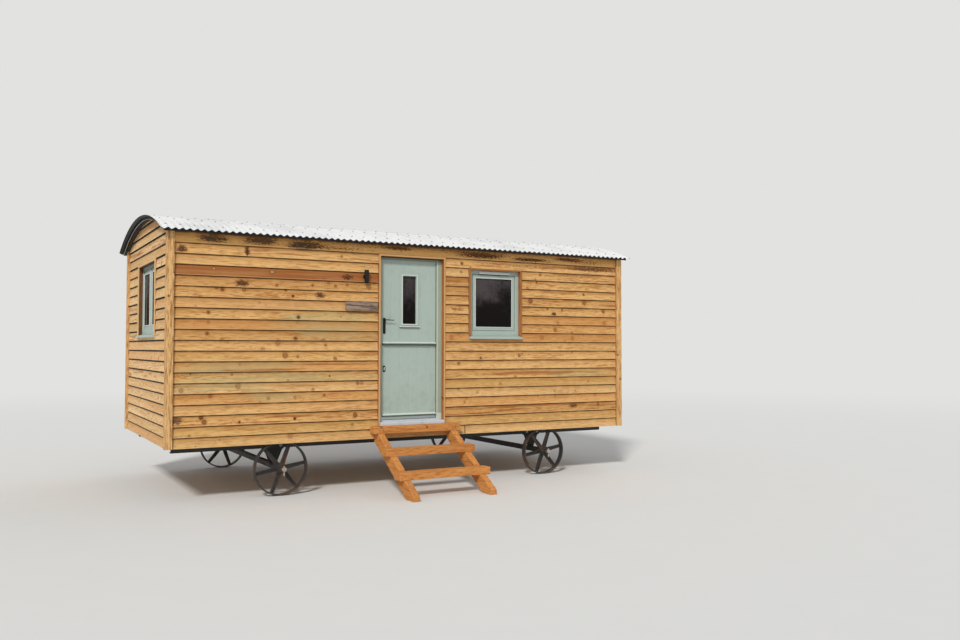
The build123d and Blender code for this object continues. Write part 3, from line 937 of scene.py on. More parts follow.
class Piece:
    """One piece, modelled in edit mode from a primitive and kept in the hut's own place."""

    def __init__(self, obj: bpy.types.Object, name: str) -> None:
        """Takes over an object and names it and its mesh."""
        self.obj = obj
        obj.name = obj.data.name = name

    @classmethod
    def settle(cls, name: str) -> "Piece":
        """Names the primitive just added and puts its place into its mesh."""
        bpy.ops.object.transform_apply(location=True, rotation=True, scale=True)
        return cls(bpy.context.object, name)

    @classmethod
    def box(cls, name: str, low: Sequence[float], high: Sequence[float]) -> "Piece":
        """Cuboid between two corners.

        Args:
            name: The piece's name.
            low: Lowest corner.
            high: Highest corner.

        Returns:
            The piece.
        """
        idle()
        low, high = Vector(low), Vector(high)
        bpy.ops.mesh.primitive_cube_add(size=1.0, location=(low + high) / 2, scale=high - low)
        return cls.settle(name)

    @classmethod
    def plate(
        cls, name: str, low: Sequence[float], high: Sequence[float], corner: float
    ) -> "Piece":
        """Cuboid whose four corners, as seen from the front, are rounded.

        Args:
            name: The piece's name.
            low: Lowest corner.
            high: Highest corner.
            corner: Radius of the rounding.

        Returns:
            The piece.
        """
        plate = cls.box(name, low, high)
        with plate.editing("EDGE"):
            plate.pick_edges(lambda middle, run: abs(run.y) > ALIGNED)
            bpy.ops.mesh.bevel(offset=corner, segments=6, affect="EDGES")
        return plate

    @classmethod
    def rod(
        cls, name: str, radius: float, start: Sequence[float], end: Sequence[float], sides: int
    ) -> "Piece":
        """Round bar from one point to another.

        Args:
            name: The piece's name.
            radius: The bar's radius.
            start: Centre of one end.
            end: Centre of the other end.
            sides: Faces round the bar.

        Returns:
            The piece.
        """
        idle()
        start, end = Vector(start), Vector(end)
        turn = (end - start).to_track_quat("Z", "Y").to_euler()
        bpy.ops.mesh.primitive_cylinder_add(
            vertices=sides, radius=radius, depth=(end - start).length,
            location=(start + end) / 2, rotation=turn,
        )
        return cls.settle(name)

    @classmethod
    def ring(
        cls, name: str, low: Sequence[float], high: Sequence[float], width: float, depth: float
    ) -> "Piece":
        """Mitred rectangular ring that faces the front.

        Args:
            name: The piece's name.
            low: Lowest outer corner.
            high: Highest outer corner, as deep as the lowest.
            width: Width of its face.
            depth: How far it stands out.

        Returns:
            The piece.
        """
        idle()
        low, high = Vector(low), Vector(high)
        bpy.ops.mesh.primitive_plane_add(
            size=1.0, location=(low + high) / 2, rotation=(math.pi / 2, 0.0, 0.0)
        )
        bpy.context.object.scale = (high.x - low.x, high.z - low.z, 1.0)
        ring = cls.settle(name)
        with ring.editing():
            bpy.ops.mesh.select_all(action="SELECT")
            bpy.ops.mesh.inset(thickness=width)
            bpy.ops.mesh.delete(type="FACE")
        ring.modify("SOLIDIFY", thickness=depth, offset=1.0)
        with ring.editing():
            bpy.ops.mesh.select_all(action="SELECT")
            bpy.ops.mesh.normals_make_consistent(inside=False)
        return ring

    @classmethod
    def strip(
        cls, name: str, points: Sequence[Vector], faces: Sequence[Sequence[int]] = ()
    ) -> "Piece":
        """Line of points, or faces on them, as the start of a spin.

        Args:
            name: The piece's name.
            points: The points in order.
            faces: Faces by point number. With none, the points are joined by edges.

        Returns:
            The piece.
        """
        idle()
        mesh = bpy.data.meshes.new(name)
        edges = [] if faces else [(index, index + 1) for index in range(len(points) - 1)]
        mesh.from_pydata([tuple(point) for point in points], edges, faces)
        obj = bpy.data.objects.new(name, mesh)
        bpy.context.collection.objects.link(obj)
        return cls(obj, name)

    def activate(self) -> None:
        """Makes this the only selected and the active object."""
        idle()
        self.obj.select_set(True)
        bpy.context.view_layer.objects.active = self.obj

    @contextmanager
    def editing(self, mode: str = "FACE") -> Iterator[None]:
        """Opens the mesh in edit mode.

        Args:
            mode: What is selected: VERT, EDGE or FACE.

        Yields:
            Nothing, with the mesh open.
        """
        self.activate()
        bpy.ops.object.mode_set(mode="EDIT")
        bpy.ops.mesh.select_mode(type=mode)
        yield
        bpy.ops.object.mode_set(mode="OBJECT")

    def pick_faces(self, out: Sequence[float]) -> Vector:
        """Selects the faces that face a direction.

        Args:
            out: The direction.

        Returns:
            The middle of the selected faces.
        """
        bpy.ops.mesh.select_all(action="DESELECT")
        mesh = bmesh.from_edit_mesh(self.obj.data)
        chosen = [face for face in mesh.faces if face.normal.dot(Vector(out)) > ALIGNED]
        for face in chosen:
            face.select_set(True)
        bmesh.update_edit_mesh(self.obj.data)
        return sum((face.calc_center_median() for face in chosen), Vector()) / len(chosen)

    def pick_edges(self, wanted: Callable[[Vector, Vector], bool]) -> None:
        """Selects the edges whose middle and direction pass a test.

        Args:
            wanted: Test of middle and unit direction.
        """
        bpy.ops.mesh.select_all(action="DESELECT")
        mesh = bmesh.from_edit_mesh(self.obj.data)
        for edge in mesh.edges:
            first, last = (corner.co for corner in edge.verts)
            edge.select_set(wanted((first + last) / 2, (last - first).normalized()))
        bmesh.update_edit_mesh(self.obj.data)

    def modify(self, kind: str, **settings: object) -> "Piece":
        """Adds a modifier and applies it.

        Args:
            kind: The modifier's type.
            settings: Its properties.

        Returns:
            The piece.
        """
        self.activate()
        modifier = add_modifier(self.obj, kind, **settings)
        bpy.ops.object.modifier_apply(modifier=modifier.name)
        return self

    def soften(self, width: float, segments: int = 2) -> "Piece":
        """Rounds the sharp edges."""
        limit = {"limit_method": "ANGLE", "angle_limit": math.radians(35.0)}
        return self.modify("BEVEL", width=width, segments=segments, **limit)

    def cut(self, other: "Piece", operation: str = "DIFFERENCE") -> "Piece":
        """Cuts this piece with another, which is used up.

        Args:
            other: The cutter.
            operation: DIFFERENCE or INTERSECT.

        Returns:
            The piece.
        """
        self.modify("BOOLEAN", operation=operation, object=other.obj, solver="EXACT")
        other.discard()
        return self

    def move(self, matrix: Matrix) -> "Piece":
        """Moves the mesh itself.

        Args:
            matrix: The move.

        Returns:
            The piece.
        """
        self.obj.data.transform(matrix)
        self.obj.data.update()
        return self

    def copy(self, name: str, matrix: Matrix) -> "Piece":
        """Copies the piece with a mesh of its own.

        Args:
            name: The copy's name.
            matrix: Where the copy goes.

        Returns:
            The copy.
        """
        obj = self.obj.copy()
        obj.data = self.obj.data.copy()
        bpy.context.collection.objects.link(obj)
        return Piece(obj, name).move(matrix)

    def mark(self, name: str, numbers: Sequence[float]) -> "Piece":
        """Writes the same three numbers on every point of the mesh.

        Args:
            name: The attribute's name.
            numbers: Three numbers.

        Returns:
            The piece.
        """
        layer = self.obj.data.attributes.new(name, "FLOAT_COLOR", "POINT")
        layer.data.foreach_set("color", [*numbers, 1.0] * len(self.obj.data.vertices))
        return self

    def smooth(self, angle: float = 40.0) -> "Piece":
        """Shades smooth across blunt edges.

        Args:
            angle: The angle below which an edge is blunt, in degrees.

        Returns:
            The piece.
        """
        self.activate()
        bpy.ops.object.shade_smooth_by_angle(angle=math.radians(angle))
        return self

    def discard(self) -> None:
        """Deletes the piece."""
        mesh = self.obj.data
        bpy.data.objects.remove(self.obj)
        bpy.data.meshes.remove(mesh)

    def hand_over(
        self, material: Material, slot: str, body: str = HUT,
        stands_for: Sequence[str] = (),
    ) -> None:
        """Dresses the finished piece and puts it on its body.

        Args:
            material: The finish.
            slot: The record's material slot; not used.
            body: The body that it rides on.
            stands_for: The frame's nodes that it replaces.
        """
        self.obj.data.materials.clear()
        self.obj.data.materials.append(material)
        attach(self.obj, body)
        if stands_for:
            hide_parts(*stands_for)
        log.info("%s on %s, %d faces", self.obj.name, body, len(self.obj.data.polygons))


def join(name: str, pieces: Sequence[Piece]) -> Piece:
    """Joins pieces into one mesh.

    Args:
        name: The joined piece's name.
        pieces: The pieces, which are used up.

    Returns:
        The joined piece.
    """
    idle()
    for piece in pieces:
        piece.obj.select_set(True)
    bpy.context.view_layer.objects.active = pieces[0].obj
    bpy.ops.object.join()
    return Piece(bpy.context.object, name)


def scatter(name: str, pattern: Piece, places: Sequence[Matrix]) -> Piece:
    """Joins copies of one small piece into one mesh.

    Args:
        name: The joined piece's name.
        pattern: The piece to repeat, which is used up.
        places: Where each copy goes.

    Returns:
        The joined piece.
    """
    mesh = bmesh.new()
    for place in places:
        before = len(mesh.verts)
        mesh.from_mesh(pattern.obj.data)
        mesh.verts.ensure_lookup_table()
        bmesh.ops.transform(mesh, matrix=place, verts=mesh.verts[before:])
    mesh.to_mesh(pattern.obj.data)
    mesh.free()
    pattern.obj.data.update()
    return Piece(pattern.obj, name)


@dataclass(frozen=True)
class Stud:
    """Head of a nail, screw or bolt, or its washer, measured along its own axis."""

    radius: float
    foot: float
    top: float
    sides: int
    inset: float = 0.0
    rise: float = 0.0
    rounding: float = 0.0

    def build(self, out: Vector) -> Piece:
        """Models the head at the origin.

        Args:
            out: Direction that it stands out in.

        Returns:
            The piece.
        """
        stud = Piece.rod("stud", self.radius, out * self.foot, out * self.top, self.sides)
        if self.inset > 0.0:
            with stud.editing():
                stud.pick_faces(out)
                bpy.ops.mesh.inset(thickness=self.inset, depth=self.rise)
        return stud.soften(self.rounding) if self.rounding > 0.0 else stud


@dataclass(frozen=True)
class Hut:
    """Main places of the hut, measured on the frame's nodes."""

    left: float
    right: float
    front: float
    back: float
    ground_line: float
    post: float
    slab_depth: float
    crown: float
    roof_rise: float
    sheet_depth: float
    verge: float
    eave: float

    @classmethod
    def measure(cls) -> "Hut":
        """Reads the places from the nodes.

        The roof sheet's box is as high as its arch's rise and its own depth, which leans at the
        eaves, so the rise is found in a few rounds from a first guess.

        Returns:
            The hut's places.
        """
        posts_low, posts_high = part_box("corner_posts")
        slab_low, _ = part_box("front_wall_left")
        sheet_low, sheet_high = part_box("roof_sheet")
        sheet_depth = sheet_high.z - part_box("roof_deck")[1].z
        half = (sheet_high.y - sheet_low.y) / 2
        rise = 0.3
        for _ in range(4):
            radius = (half**2 + rise**2) / (2 * rise)
            slope = math.sqrt(1.0 - (half / radius) ** 2)
            rise = sheet_high.z - sheet_low.z - sheet_depth * slope
        return cls(
            left=posts_low.x, right=posts_high.x, front=posts_low.y, back=posts_high.y,
            ground_line=posts_low.z, post=slab_low.x - posts_low.x,
            slab_depth=slab_low.y - posts_low.y, crown=sheet_high.z, roof_rise=rise,
            sheet_depth=sheet_depth, verge=sheet_low.x, eave=sheet_low.y,
        )

    @property
    def length(self) -> float:
        """Length between the posts' outer faces."""
        return self.right - self.left

    @property
    def width(self) -> float:
        """Width between the posts' outer faces."""
        return self.back - self.front

    @property
    def middle(self) -> float:
        """Place of the roof's crown across the width."""
        return (self.front + self.back) / 2

    @property
    def roof_half(self) -> float:
        """Half of the roof's width, from the crown to an eave."""
        return self.middle - self.eave

    @property
    def roof_radius(self) -> float:
        """Radius of the roof sheet's crests."""
        return (self.roof_half**2 + self.roof_rise**2) / (2 * self.roof_rise)

    @property
    def arch_height(self) -> float:
        """Height of the roof arch's centre."""
        return self.crown - self.roof_radius

    @property
    def roof_angle(self) -> float:
        """Angle of the arch from the crown to an eave, in radians."""
        return math.asin(self.roof_half / self.roof_radius)

    def inner_radius(self, node: str) -> float:
        """Distance of an arched node's underside from the arch's centre line."""
        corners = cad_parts[node].data.vertices
        return min(math.hypot(at.co.y - self.middle, at.co.z - self.arch_height) for at in corners)

    @property
    def ceiling_radius(self) -> float:
        """Radius of the roof deck's underside."""
        return self.inner_radius("roof_deck")

    def ceiling(self, across: float) -> float:
        """Height of the roof deck's underside at a place across the width."""
        return self.arch_height + math.sqrt(self.ceiling_radius**2 - (across - self.middle) ** 2)


@dataclass(frozen=True)
class Hole:
    """Opening in a wall that the boards stop at, in the wall's own length and height."""

    start: float
    end: float
    bottom: float
    top: float

    def near(self, along: float, height: float, margin: float) -> bool:
        """Whether a place is in the opening or within a margin of it."""
        level = self.bottom - margin < height < self.top + margin
        return level and self.start - margin < along < self.end + margin


@dataclass(frozen=True)
class Wall:
    """One side of the hut as the boards see it, with its own length from left to right."""

    name: str
    length: float
    place: Matrix
    raised: float = 0.0
    holes: tuple[Hole, ...] = ()
    arched: bool = False
    joints: dict[int, tuple[float, ...]] = field(default_factory=dict)
    red_rows: tuple[int, ...] = ()

    def reach(self, span: tuple[float, float]) -> tuple[float, float]:
        """Lower and higher end of a stretch along the hut, or across it for a gable."""
        ends = [(self.place @ Vector((along, 0.0, 0.0)))[int(self.arched)] for along in span]
        return min(ends), max(ends)


@dataclass
class Cladding:
    """Featheredge boards on the four sides, each lapped over the one below and nailed."""

    hut: Hut
    finishes: Finishes
    pitch: float = 0.110
    butt: float = 0.018
    feather: float = 0.003
    lap: float = 0.012
    arris: float = 0.0018
    seam: float = 0.0018
    wander: float = 0.0009
    gable_raise: float = 0.003
    front_joints: dict[int, tuple[float, ...]] = field(
        default_factory=lambda: {0: (3.35,), 18: (0.736,)}
    )
    back_joints: tuple[float, float] = (1.7, 3.9)
    red_row: int = 16
    stray_red: float = 0.12
    drum_sides: int = 512
    drum_half: float = 0.2
    cutter_half: float = 0.1
    tolerance: float = 0.001
    least_rise: float = 0.004
    most_rows: int = 21
    nail: Stud = Stud(0.0036, -0.0004, 0.0012, 8, 0.00144, 0.0004)
    nail_spacing: float = 0.6
    nail_height: float = 0.03
    nail_margin: float = 0.035
    nail_wander: tuple[float, float] = (0.006, 0.004)
    nail_clearance: float = 0.02
    eave_clearance: float = 0.03
    chance: random.Random = field(default_factory=lambda: random.Random(19))
    model: Piece = field(init=False)

    def pattern(self) -> Piece:
        """Models one board, a metre long, with its lapping edge at the bottom.

        Returns:
            The board.
        """
        board = Piece.box("board", (0.0, -self.butt, 0.0), (1.0, 0.0, self.pitch + self.lap))

        def in_front(middle: Vector, run: Vector) -> bool:
            """Whether an edge runs along the board's front."""
            return middle.y < -self.tolerance and abs(run.x) > ALIGNED

        with board.editing("EDGE"):
            board.pick_edges(lambda middle, run: in_front(middle, run) and middle.z > self.pitch)
            bpy.ops.transform.translate(value=(0.0, self.butt - self.feather, 0.0))
            board.pick_edges(
                lambda middle, run: in_front(middle, run) and middle.z < self.tolerance
            )
            bpy.ops.mesh.bevel(offset=self.arris, segments=2, affect="EDGES")
        return board

    def spans(
        self, wall: Wall, row: int, bottom: float, top: float
    ) -> list[tuple[float, float]]:
        """Stretches of one row between the holes and butt joints.

        Args:
            wall: The wall.
            row: The row's number from the ground.
            bottom: The row's lower edge.
            top: The next row's lower edge.

        Returns:
            Start and end of each stretch.
        """
        crossed = [hole for hole in wall.holes if hole.bottom <= bottom and hole.top >= top]
        cuts = [(hole.start, hole.end) for hole in crossed]
        for joint in wall.joints.get(row, ()):
            cuts.append((joint - self.seam / 2, joint + self.seam / 2))
        stretches = []
        start = 0.0
        for low, high in sorted(cuts):
            if low > start:
                stretches.append((start, low))
            start = max(start, high)
        if start < wall.length:
            stretches.append((start, wall.length))
        return stretches

    def board(
        self, wall: Wall, row: int, span: tuple[float, float], bottom: float, height: float
    ) -> Piece:
        """Cuts one board to length and marks it with its own tone.

        Args:
            wall: The wall.
            row: The row's number.
            span: Start and end along the wall.
            bottom: The board's lower edge.
            height: The board's height as a share of a full one.

        Returns:
            The board.
        """
        nudge = self.chance.uniform(-self.wander, self.wander)
        stretch = Matrix.Diagonal((span[1] - span[0], 1.0, height, 1.0))
        board = self.model.copy("board", shift(span[0], 0.0, bottom + nudge) @ stretch)
        top = bottom + self.pitch * height
        for hole in wall.holes:
            first, last = hole.start + self.tolerance, hole.end - self.tolerance
            if first < span[1] and last > span[0] and hole.bottom < top and hole.top > bottom:
                low = (hole.start, -self.cutter_half, hole.bottom)
                board.cut(Piece.box("cutter", low, (hole.end, self.cutter_half, hole.top)))
        if wall.arched:
            self.trim_to_arch(wall, board, top + self.lap)
        tone = self.chance.random()
        seed = self.chance.random()
        is_red = row in wall.red_rows and span[0] < 0.1
        redness = 1.0 if is_red else self.chance.uniform(0.0, self.stray_red)
        board.mark("plank", (seed, tone, redness))
        return board.mark("reach", (*wall.reach(span), 0.0))

    def trim_to_arch(self, wall: Wall, board: Piece, top: float) -> None:
        """Cuts a gable board that reaches past the roof's curved underside.

        Args:
            wall: The gable.
            board: The board.
            top: The board's upper edge.
        """
        hut = self.hut
        if top >= hut.ceiling(hut.front + hut.post):
            near, far = (
                (wall.length / 2, across, hut.arch_height)
                for across in (-self.drum_half, self.drum_half)
            )
            drum = Piece.rod("drum", hut.ceiling_radius, near, far, self.drum_sides)
            board.cut(drum, "INTERSECT")

    def nails(self, wall: Wall, rows: Sequence[tuple[float, float]]) -> list[Matrix]:
        """Places of the nail heads of one wall.

        Args:
            wall: The wall.
            rows: Lower edge and height share of each row.

        Returns:
            A matrix for each nail.
        """
        count = max(2, round(wall.length / self.nail_spacing))
        run = wall.length - 2 * self.nail_margin
        sideways, upwards = self.nail_wander
        thinning = (self.butt - self.feather) / (self.pitch + self.lap)
        places = []
        for bottom, share in rows:
            for index in range(count + 1):
                along = self.nail_margin + run * index / count
                along += self.chance.uniform(-sideways, sideways)
                up = bottom + self.nail_height * share + self.chance.uniform(-upwards, upwards)
                in_hole = any(hole.near(along, up, self.nail_clearance) for hole in wall.holes)
                across = self.hut.front + self.hut.post + along
                over = up + self.eave_clearance
                if in_hole or (wall.arched and over > self.hut.ceiling(across)):
                    continue
                depth = -self.butt + thinning * (up - bottom)
                places.append(wall.place @ shift(along, depth, up))
        return places

    def side(self, wall: Wall) -> tuple[Piece, list[Matrix]]:
        """Boards one wall.

        Args:
            wall: The wall.

        Returns:
            The joined boards and the places of their nails.
        """
        hut = self.hut
        top_line = hut.ceiling(hut.middle if wall.arched else hut.front + self.eave_clearance)
        edge = hut.ground_line + self.pitch + wall.raised
        rows = [(hut.ground_line, (self.pitch + wall.raised) / self.pitch)]
        while edge < top_line - self.least_rise:
            full = self.pitch + self.lap
            rows.append((edge, 1.0 if wall.arched else min(1.0, (top_line - edge) / full)))
            edge += self.pitch
        boards = []
        for row, (bottom, share) in enumerate(rows):
            for span in self.spans(wall, row, bottom, bottom + self.pitch * share):
                board = self.board(wall, row, span, bottom, share)
                if board.obj.data.polygons:
                    boards.append(board)
        return join(wall.name, boards).move(wall.place), self.nails(wall, rows)

    def walls(self) -> list[Wall]:
        """The four sides with their openings, as seen from outside.

        Returns:
            The walls.
        """
        hut = self.hut
        near_post, far_post = hut.front + hut.post, hut.back - hut.post
        along = hut.left + hut.post
        holes = []
        for liner, lowest in (
            ("door_liner", "door_liner"), ("front_window_liner", "front_window_sill")
        ):
            low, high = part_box(liner)
            holes.append(Hole(low.x - along, high.x - along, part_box(lowest)[0].z, high.z))
        low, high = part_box("left_window_liner")
        sill_low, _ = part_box("left_window_sill")
        side_hole = Hole(far_post - high.y, far_post - low.y, sill_low.z, high.z)
        length = hut.length - 2 * hut.post
        width = hut.width - 2 * hut.post
        quarter = Matrix.Rotation(math.pi / 2, 4, "Z")
        gable = {"raised": self.gable_raise, "arched": True}
        return [
            Wall(
                "front_boards", length, shift(along, hut.front + hut.slab_depth, 0.0),
                holes=tuple(holes), joints=self.front_joints, red_rows=(self.red_row,),
            ),
            Wall(
                "back_boards", length,
                shift(hut.right - hut.post, hut.back - hut.slab_depth, 0.0) @ quarter @ quarter,
                joints={row: (self.back_joints[row % 2],) for row in range(self.most_rows)},
            ),
            Wall(
                "left_gable_boards", width,
                shift(hut.left + hut.slab_depth, far_post, 0.0) @ quarter.inverted(),
                holes=(side_hole,), **gable,
            ),
            Wall(
                "right_gable_boards", width,
                shift(hut.right - hut.slab_depth, near_post, 0.0) @ quarter, **gable,
            ),
        ]

    def build(self) -> None:
        """Boards the hut and drives the nails."""
        self.model = self.pattern()
        places = []
        for wall in self.walls():
            boards, nails = self.side(wall)
            places.extend(nails)
            kind = "gable" if wall.arched else wall.name.split("_")[0]
            stands_for = ("skirt_boards",) if wall.name == "front_boards" else ()
            boards.hand_over(self.finishes[kind], "cladding", stands_for=stands_for)
        self.model.discard()
        nails = scatter("cladding_nails", self.nail.build(FRONT), places)
        nails.hand_over(self.finishes["nail"], "hinge_steel")


@dataclass
class Roof:
    """Corrugated sheets bent over the arch, their screws, and the barge boards' beads."""

    hut: Hut
    finishes: Finishes
    wave: float = 0.0713
    waves_a_sheet: int = 10
    lapped_waves: float = 1.25
    gauge: float = 0.0008
    lift: float = 0.0016
    proud: float = 0.0025
    clearance: float = 0.0003
    points_a_wave: int = 8
    arch_steps: int = 36
    screw_lines: tuple[float, ...] = (-0.95, -0.7, -0.46, -0.23, 0.0, 0.23, 0.46, 0.7, 0.95)
    screw_every: int = 2
    eave_turn: float = 0.02
    washer: Stud = Stud(0.0105, -0.0012, 0.0008, 16, 0.004, 0.0014)
    head: Stud = Stud(0.0048, 0.0018, 0.0062, 6, 0.0014, 0.0006)
    bead_depth: float = 0.004
    bead_seat: float = 0.003
    bead_end: float = 0.009
    bead_arris: float = 0.001
    weld: float = 0.00001

    def on_arch(self, x: float, radius: float, turn: float) -> Vector:
        """Point on the roof, by its distance from the arch's centre line and its angle."""
        across, up = radius * math.sin(turn), radius * math.cos(turn)
        return Vector((x, self.hut.middle + across, self.hut.arch_height + up))

    def spin(self, strip: Piece, angle: float) -> None:
        """Spins a strip over the arch.

        Args:
            strip: The strip, at one end of the turn.
            angle: The turn, in radians.
        """
        with strip.editing("VERT"):
            bpy.ops.mesh.select_all(action="SELECT")
            bpy.ops.mesh.spin(
                steps=self.arch_steps, angle=angle,
                center=(0.0, self.hut.middle, self.hut.arch_height), axis=(1.0, 0.0, 0.0),
            )

    def sheet(self) -> Piece:
        """Models one sheet at the left verge: a wave that is spun over the arch.

        Returns:
            The sheet, still without a thickness.
        """
        hut = self.hut
        crest = hut.roof_radius + self.proud - self.lift
        valley = hut.roof_radius - hut.sheet_depth + self.gauge + self.clearance
        depth = (crest - valley) / 2
        count = round((self.waves_a_sheet + self.lapped_waves) * self.points_a_wave)
        points = []
        for index in range(count + 1):
            waves = index / self.points_a_wave
            radius = crest - depth + depth * math.cos(math.tau * waves)
            radius += self.lift * (1.0 - index / count)
            points.append(self.on_arch(hut.verge + waves * self.wave, radius, -hut.roof_angle))
        sheet = Piece.strip("sheet", points)
        self.spin(sheet, 2 * hut.roof_angle)
        return sheet

    def sheets(self) -> Piece:
        """Lays the sheets side by side, each lapped over the next.

        Returns:
            The joined sheets.
        """
        sheet = self.sheet()
        end = self.hut.left + self.hut.right - self.hut.verge
        cover = self.wave * self.waves_a_sheet
        count = math.ceil((end - self.hut.verge) / cover)
        laid = [sheet.copy("laid", shift(cover * index, 0.0, 0.0)) for index in range(count)]
        sheet.discard()
        for piece in laid[-2:]:
            with piece.editing():
                bpy.ops.mesh.select_all(action="SELECT")
                bpy.ops.mesh.bisect(
                    plane_co=(end, 0.0, 0.0), plane_no=(1.0, 0.0, 0.0), clear_outer=True
                )
        roof = join("roof_corrugated", laid)
        self.face_outwards(roof)
        return roof.modify("SOLIDIFY", thickness=self.gauge, offset=-1.0).smooth(60.0)

    def face_outwards(self, roof: Piece) -> None:
        """Turns the sheets' faces away from the arch's centre line.

        Args:
            roof: The joined sheets.
        """
        mesh = bmesh.new()
        mesh.from_mesh(roof.obj.data)
        line = Vector((0.0, self.hut.middle, self.hut.arch_height))
        for face in mesh.faces:
            away = face.calc_center_median() - line
            away.x = 0.0
            if face.normal.dot(away) < 0.0:
                face.normal_flip()
        mesh.to_mesh(roof.obj.data)
        mesh.free()

    def screws(self) -> Piece:
        """Drives screws through the crests, in lines along the hut.

        Returns:
            The screws with their washers.
        """
        hut = self.hut
        waves = int((hut.length + 2 * (hut.left - hut.verge)) / self.wave)
        radius = hut.roof_radius + self.proud - self.lift
        places = []
        for line in self.screw_lines:
            turn = line * (hut.roof_angle - self.eave_turn)
            for index in range(1, waves, self.screw_every):
                point = self.on_arch(hut.verge + index * self.wave, radius, turn)
                places.append(Matrix.Translation(point) @ Matrix.Rotation(-turn, 4, "X"))
        screw = join("screw", [self.washer.build(UP), self.head.build(UP)])
        return scatter("roof_screws", screw, places).smooth()

    def bead(self, side: str) -> Piece:
        """Curved bead under a verge, proud of its barge board.

        Args:
            side: The verge: left or right.

        Returns:
            The piece.
        """
        node = side + "_barge_board"
        low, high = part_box(node)
        if side == "left":
            x0, x1 = low.x - self.bead_depth, low.x + self.bead_seat
        else:
            x0, x1 = high.x - self.bead_seat, high.x + self.bead_depth
        outer = self.hut.inner_radius(node)
        inner = outer - self.bead_depth
        turn = self.hut.roof_angle - self.bead_end
        corners = ((x0, outer), (x1, outer), (x1, inner), (x0, inner))
        points = [self.on_arch(x, radius, -turn) for x, radius in corners]
        bead = Piece.strip(side + "_barge_bead", points, [(0, 1, 2, 3)])
        self.spin(bead, 2 * turn)
        with bead.editing():
            bpy.ops.mesh.select_all(action="SELECT")
            bpy.ops.mesh.remove_doubles(threshold=self.weld)
            bpy.ops.mesh.normals_make_consistent(inside=False)
        return bead.soften(self.bead_arris)

    def build(self) -> None:
        """Covers the roof."""
        self.sheets().hand_over(self.finishes["roof"], "roof_metal", stands_for=("roof_sheet",))
        self.screws().hand_over(self.finishes["screw"], "hinge_steel")
        for side in ("left", "right"):
            self.bead(side).hand_over(self.finishes["drip"], "posts")


@dataclass(frozen=True)
class Strip:
    """Sizes of a strip under a pane: past the pane's sides, out of the leaf, and below it."""

    reach: float
    proud: float
    top: float
    foot: float
    arris: float


@dataclass(frozen=True)
class Lever:
    """Sizes of a lever handle with its rose, back plate and keyhole."""

    plate_width: float = 0.032
    plate_depth: float = 0.006
    plate_corner: float = 0.0145
    plate_arris: float = 0.0018
    seat: float = 0.022
    height: float = 0.864
    rose_radius: float = 0.0135
    rose_depth: float = 0.016
    rose_inset: float = 0.004
    rose_arris: float = 0.0012
    rose_sides: int = 24
    neck: float = 0.022
    reach: float = 0.038
    radius: float = 0.0058
    sides: int = 16
    tail: float = 0.010
    grip: float = 0.030
    scroll: tuple[Triple, ...] = (
        (0.022, 0.84, 0.0), (0.022, 0.9, -0.001), (0.022, 1.12, -0.001), (0.012, 0.9, 0.0),
    )
    arris: float = 0.002
    keyhole_radius: float = 0.006
    keyhole_depth: float = 0.0075
    keyhole_height: float = 0.045


@dataclass(frozen=True)
class LockPlate:
    """Sizes and finish of one plate of the lock."""

    name: str
    half_width: float
    half_height: float
    proud: float
    finish: str
    slot: str


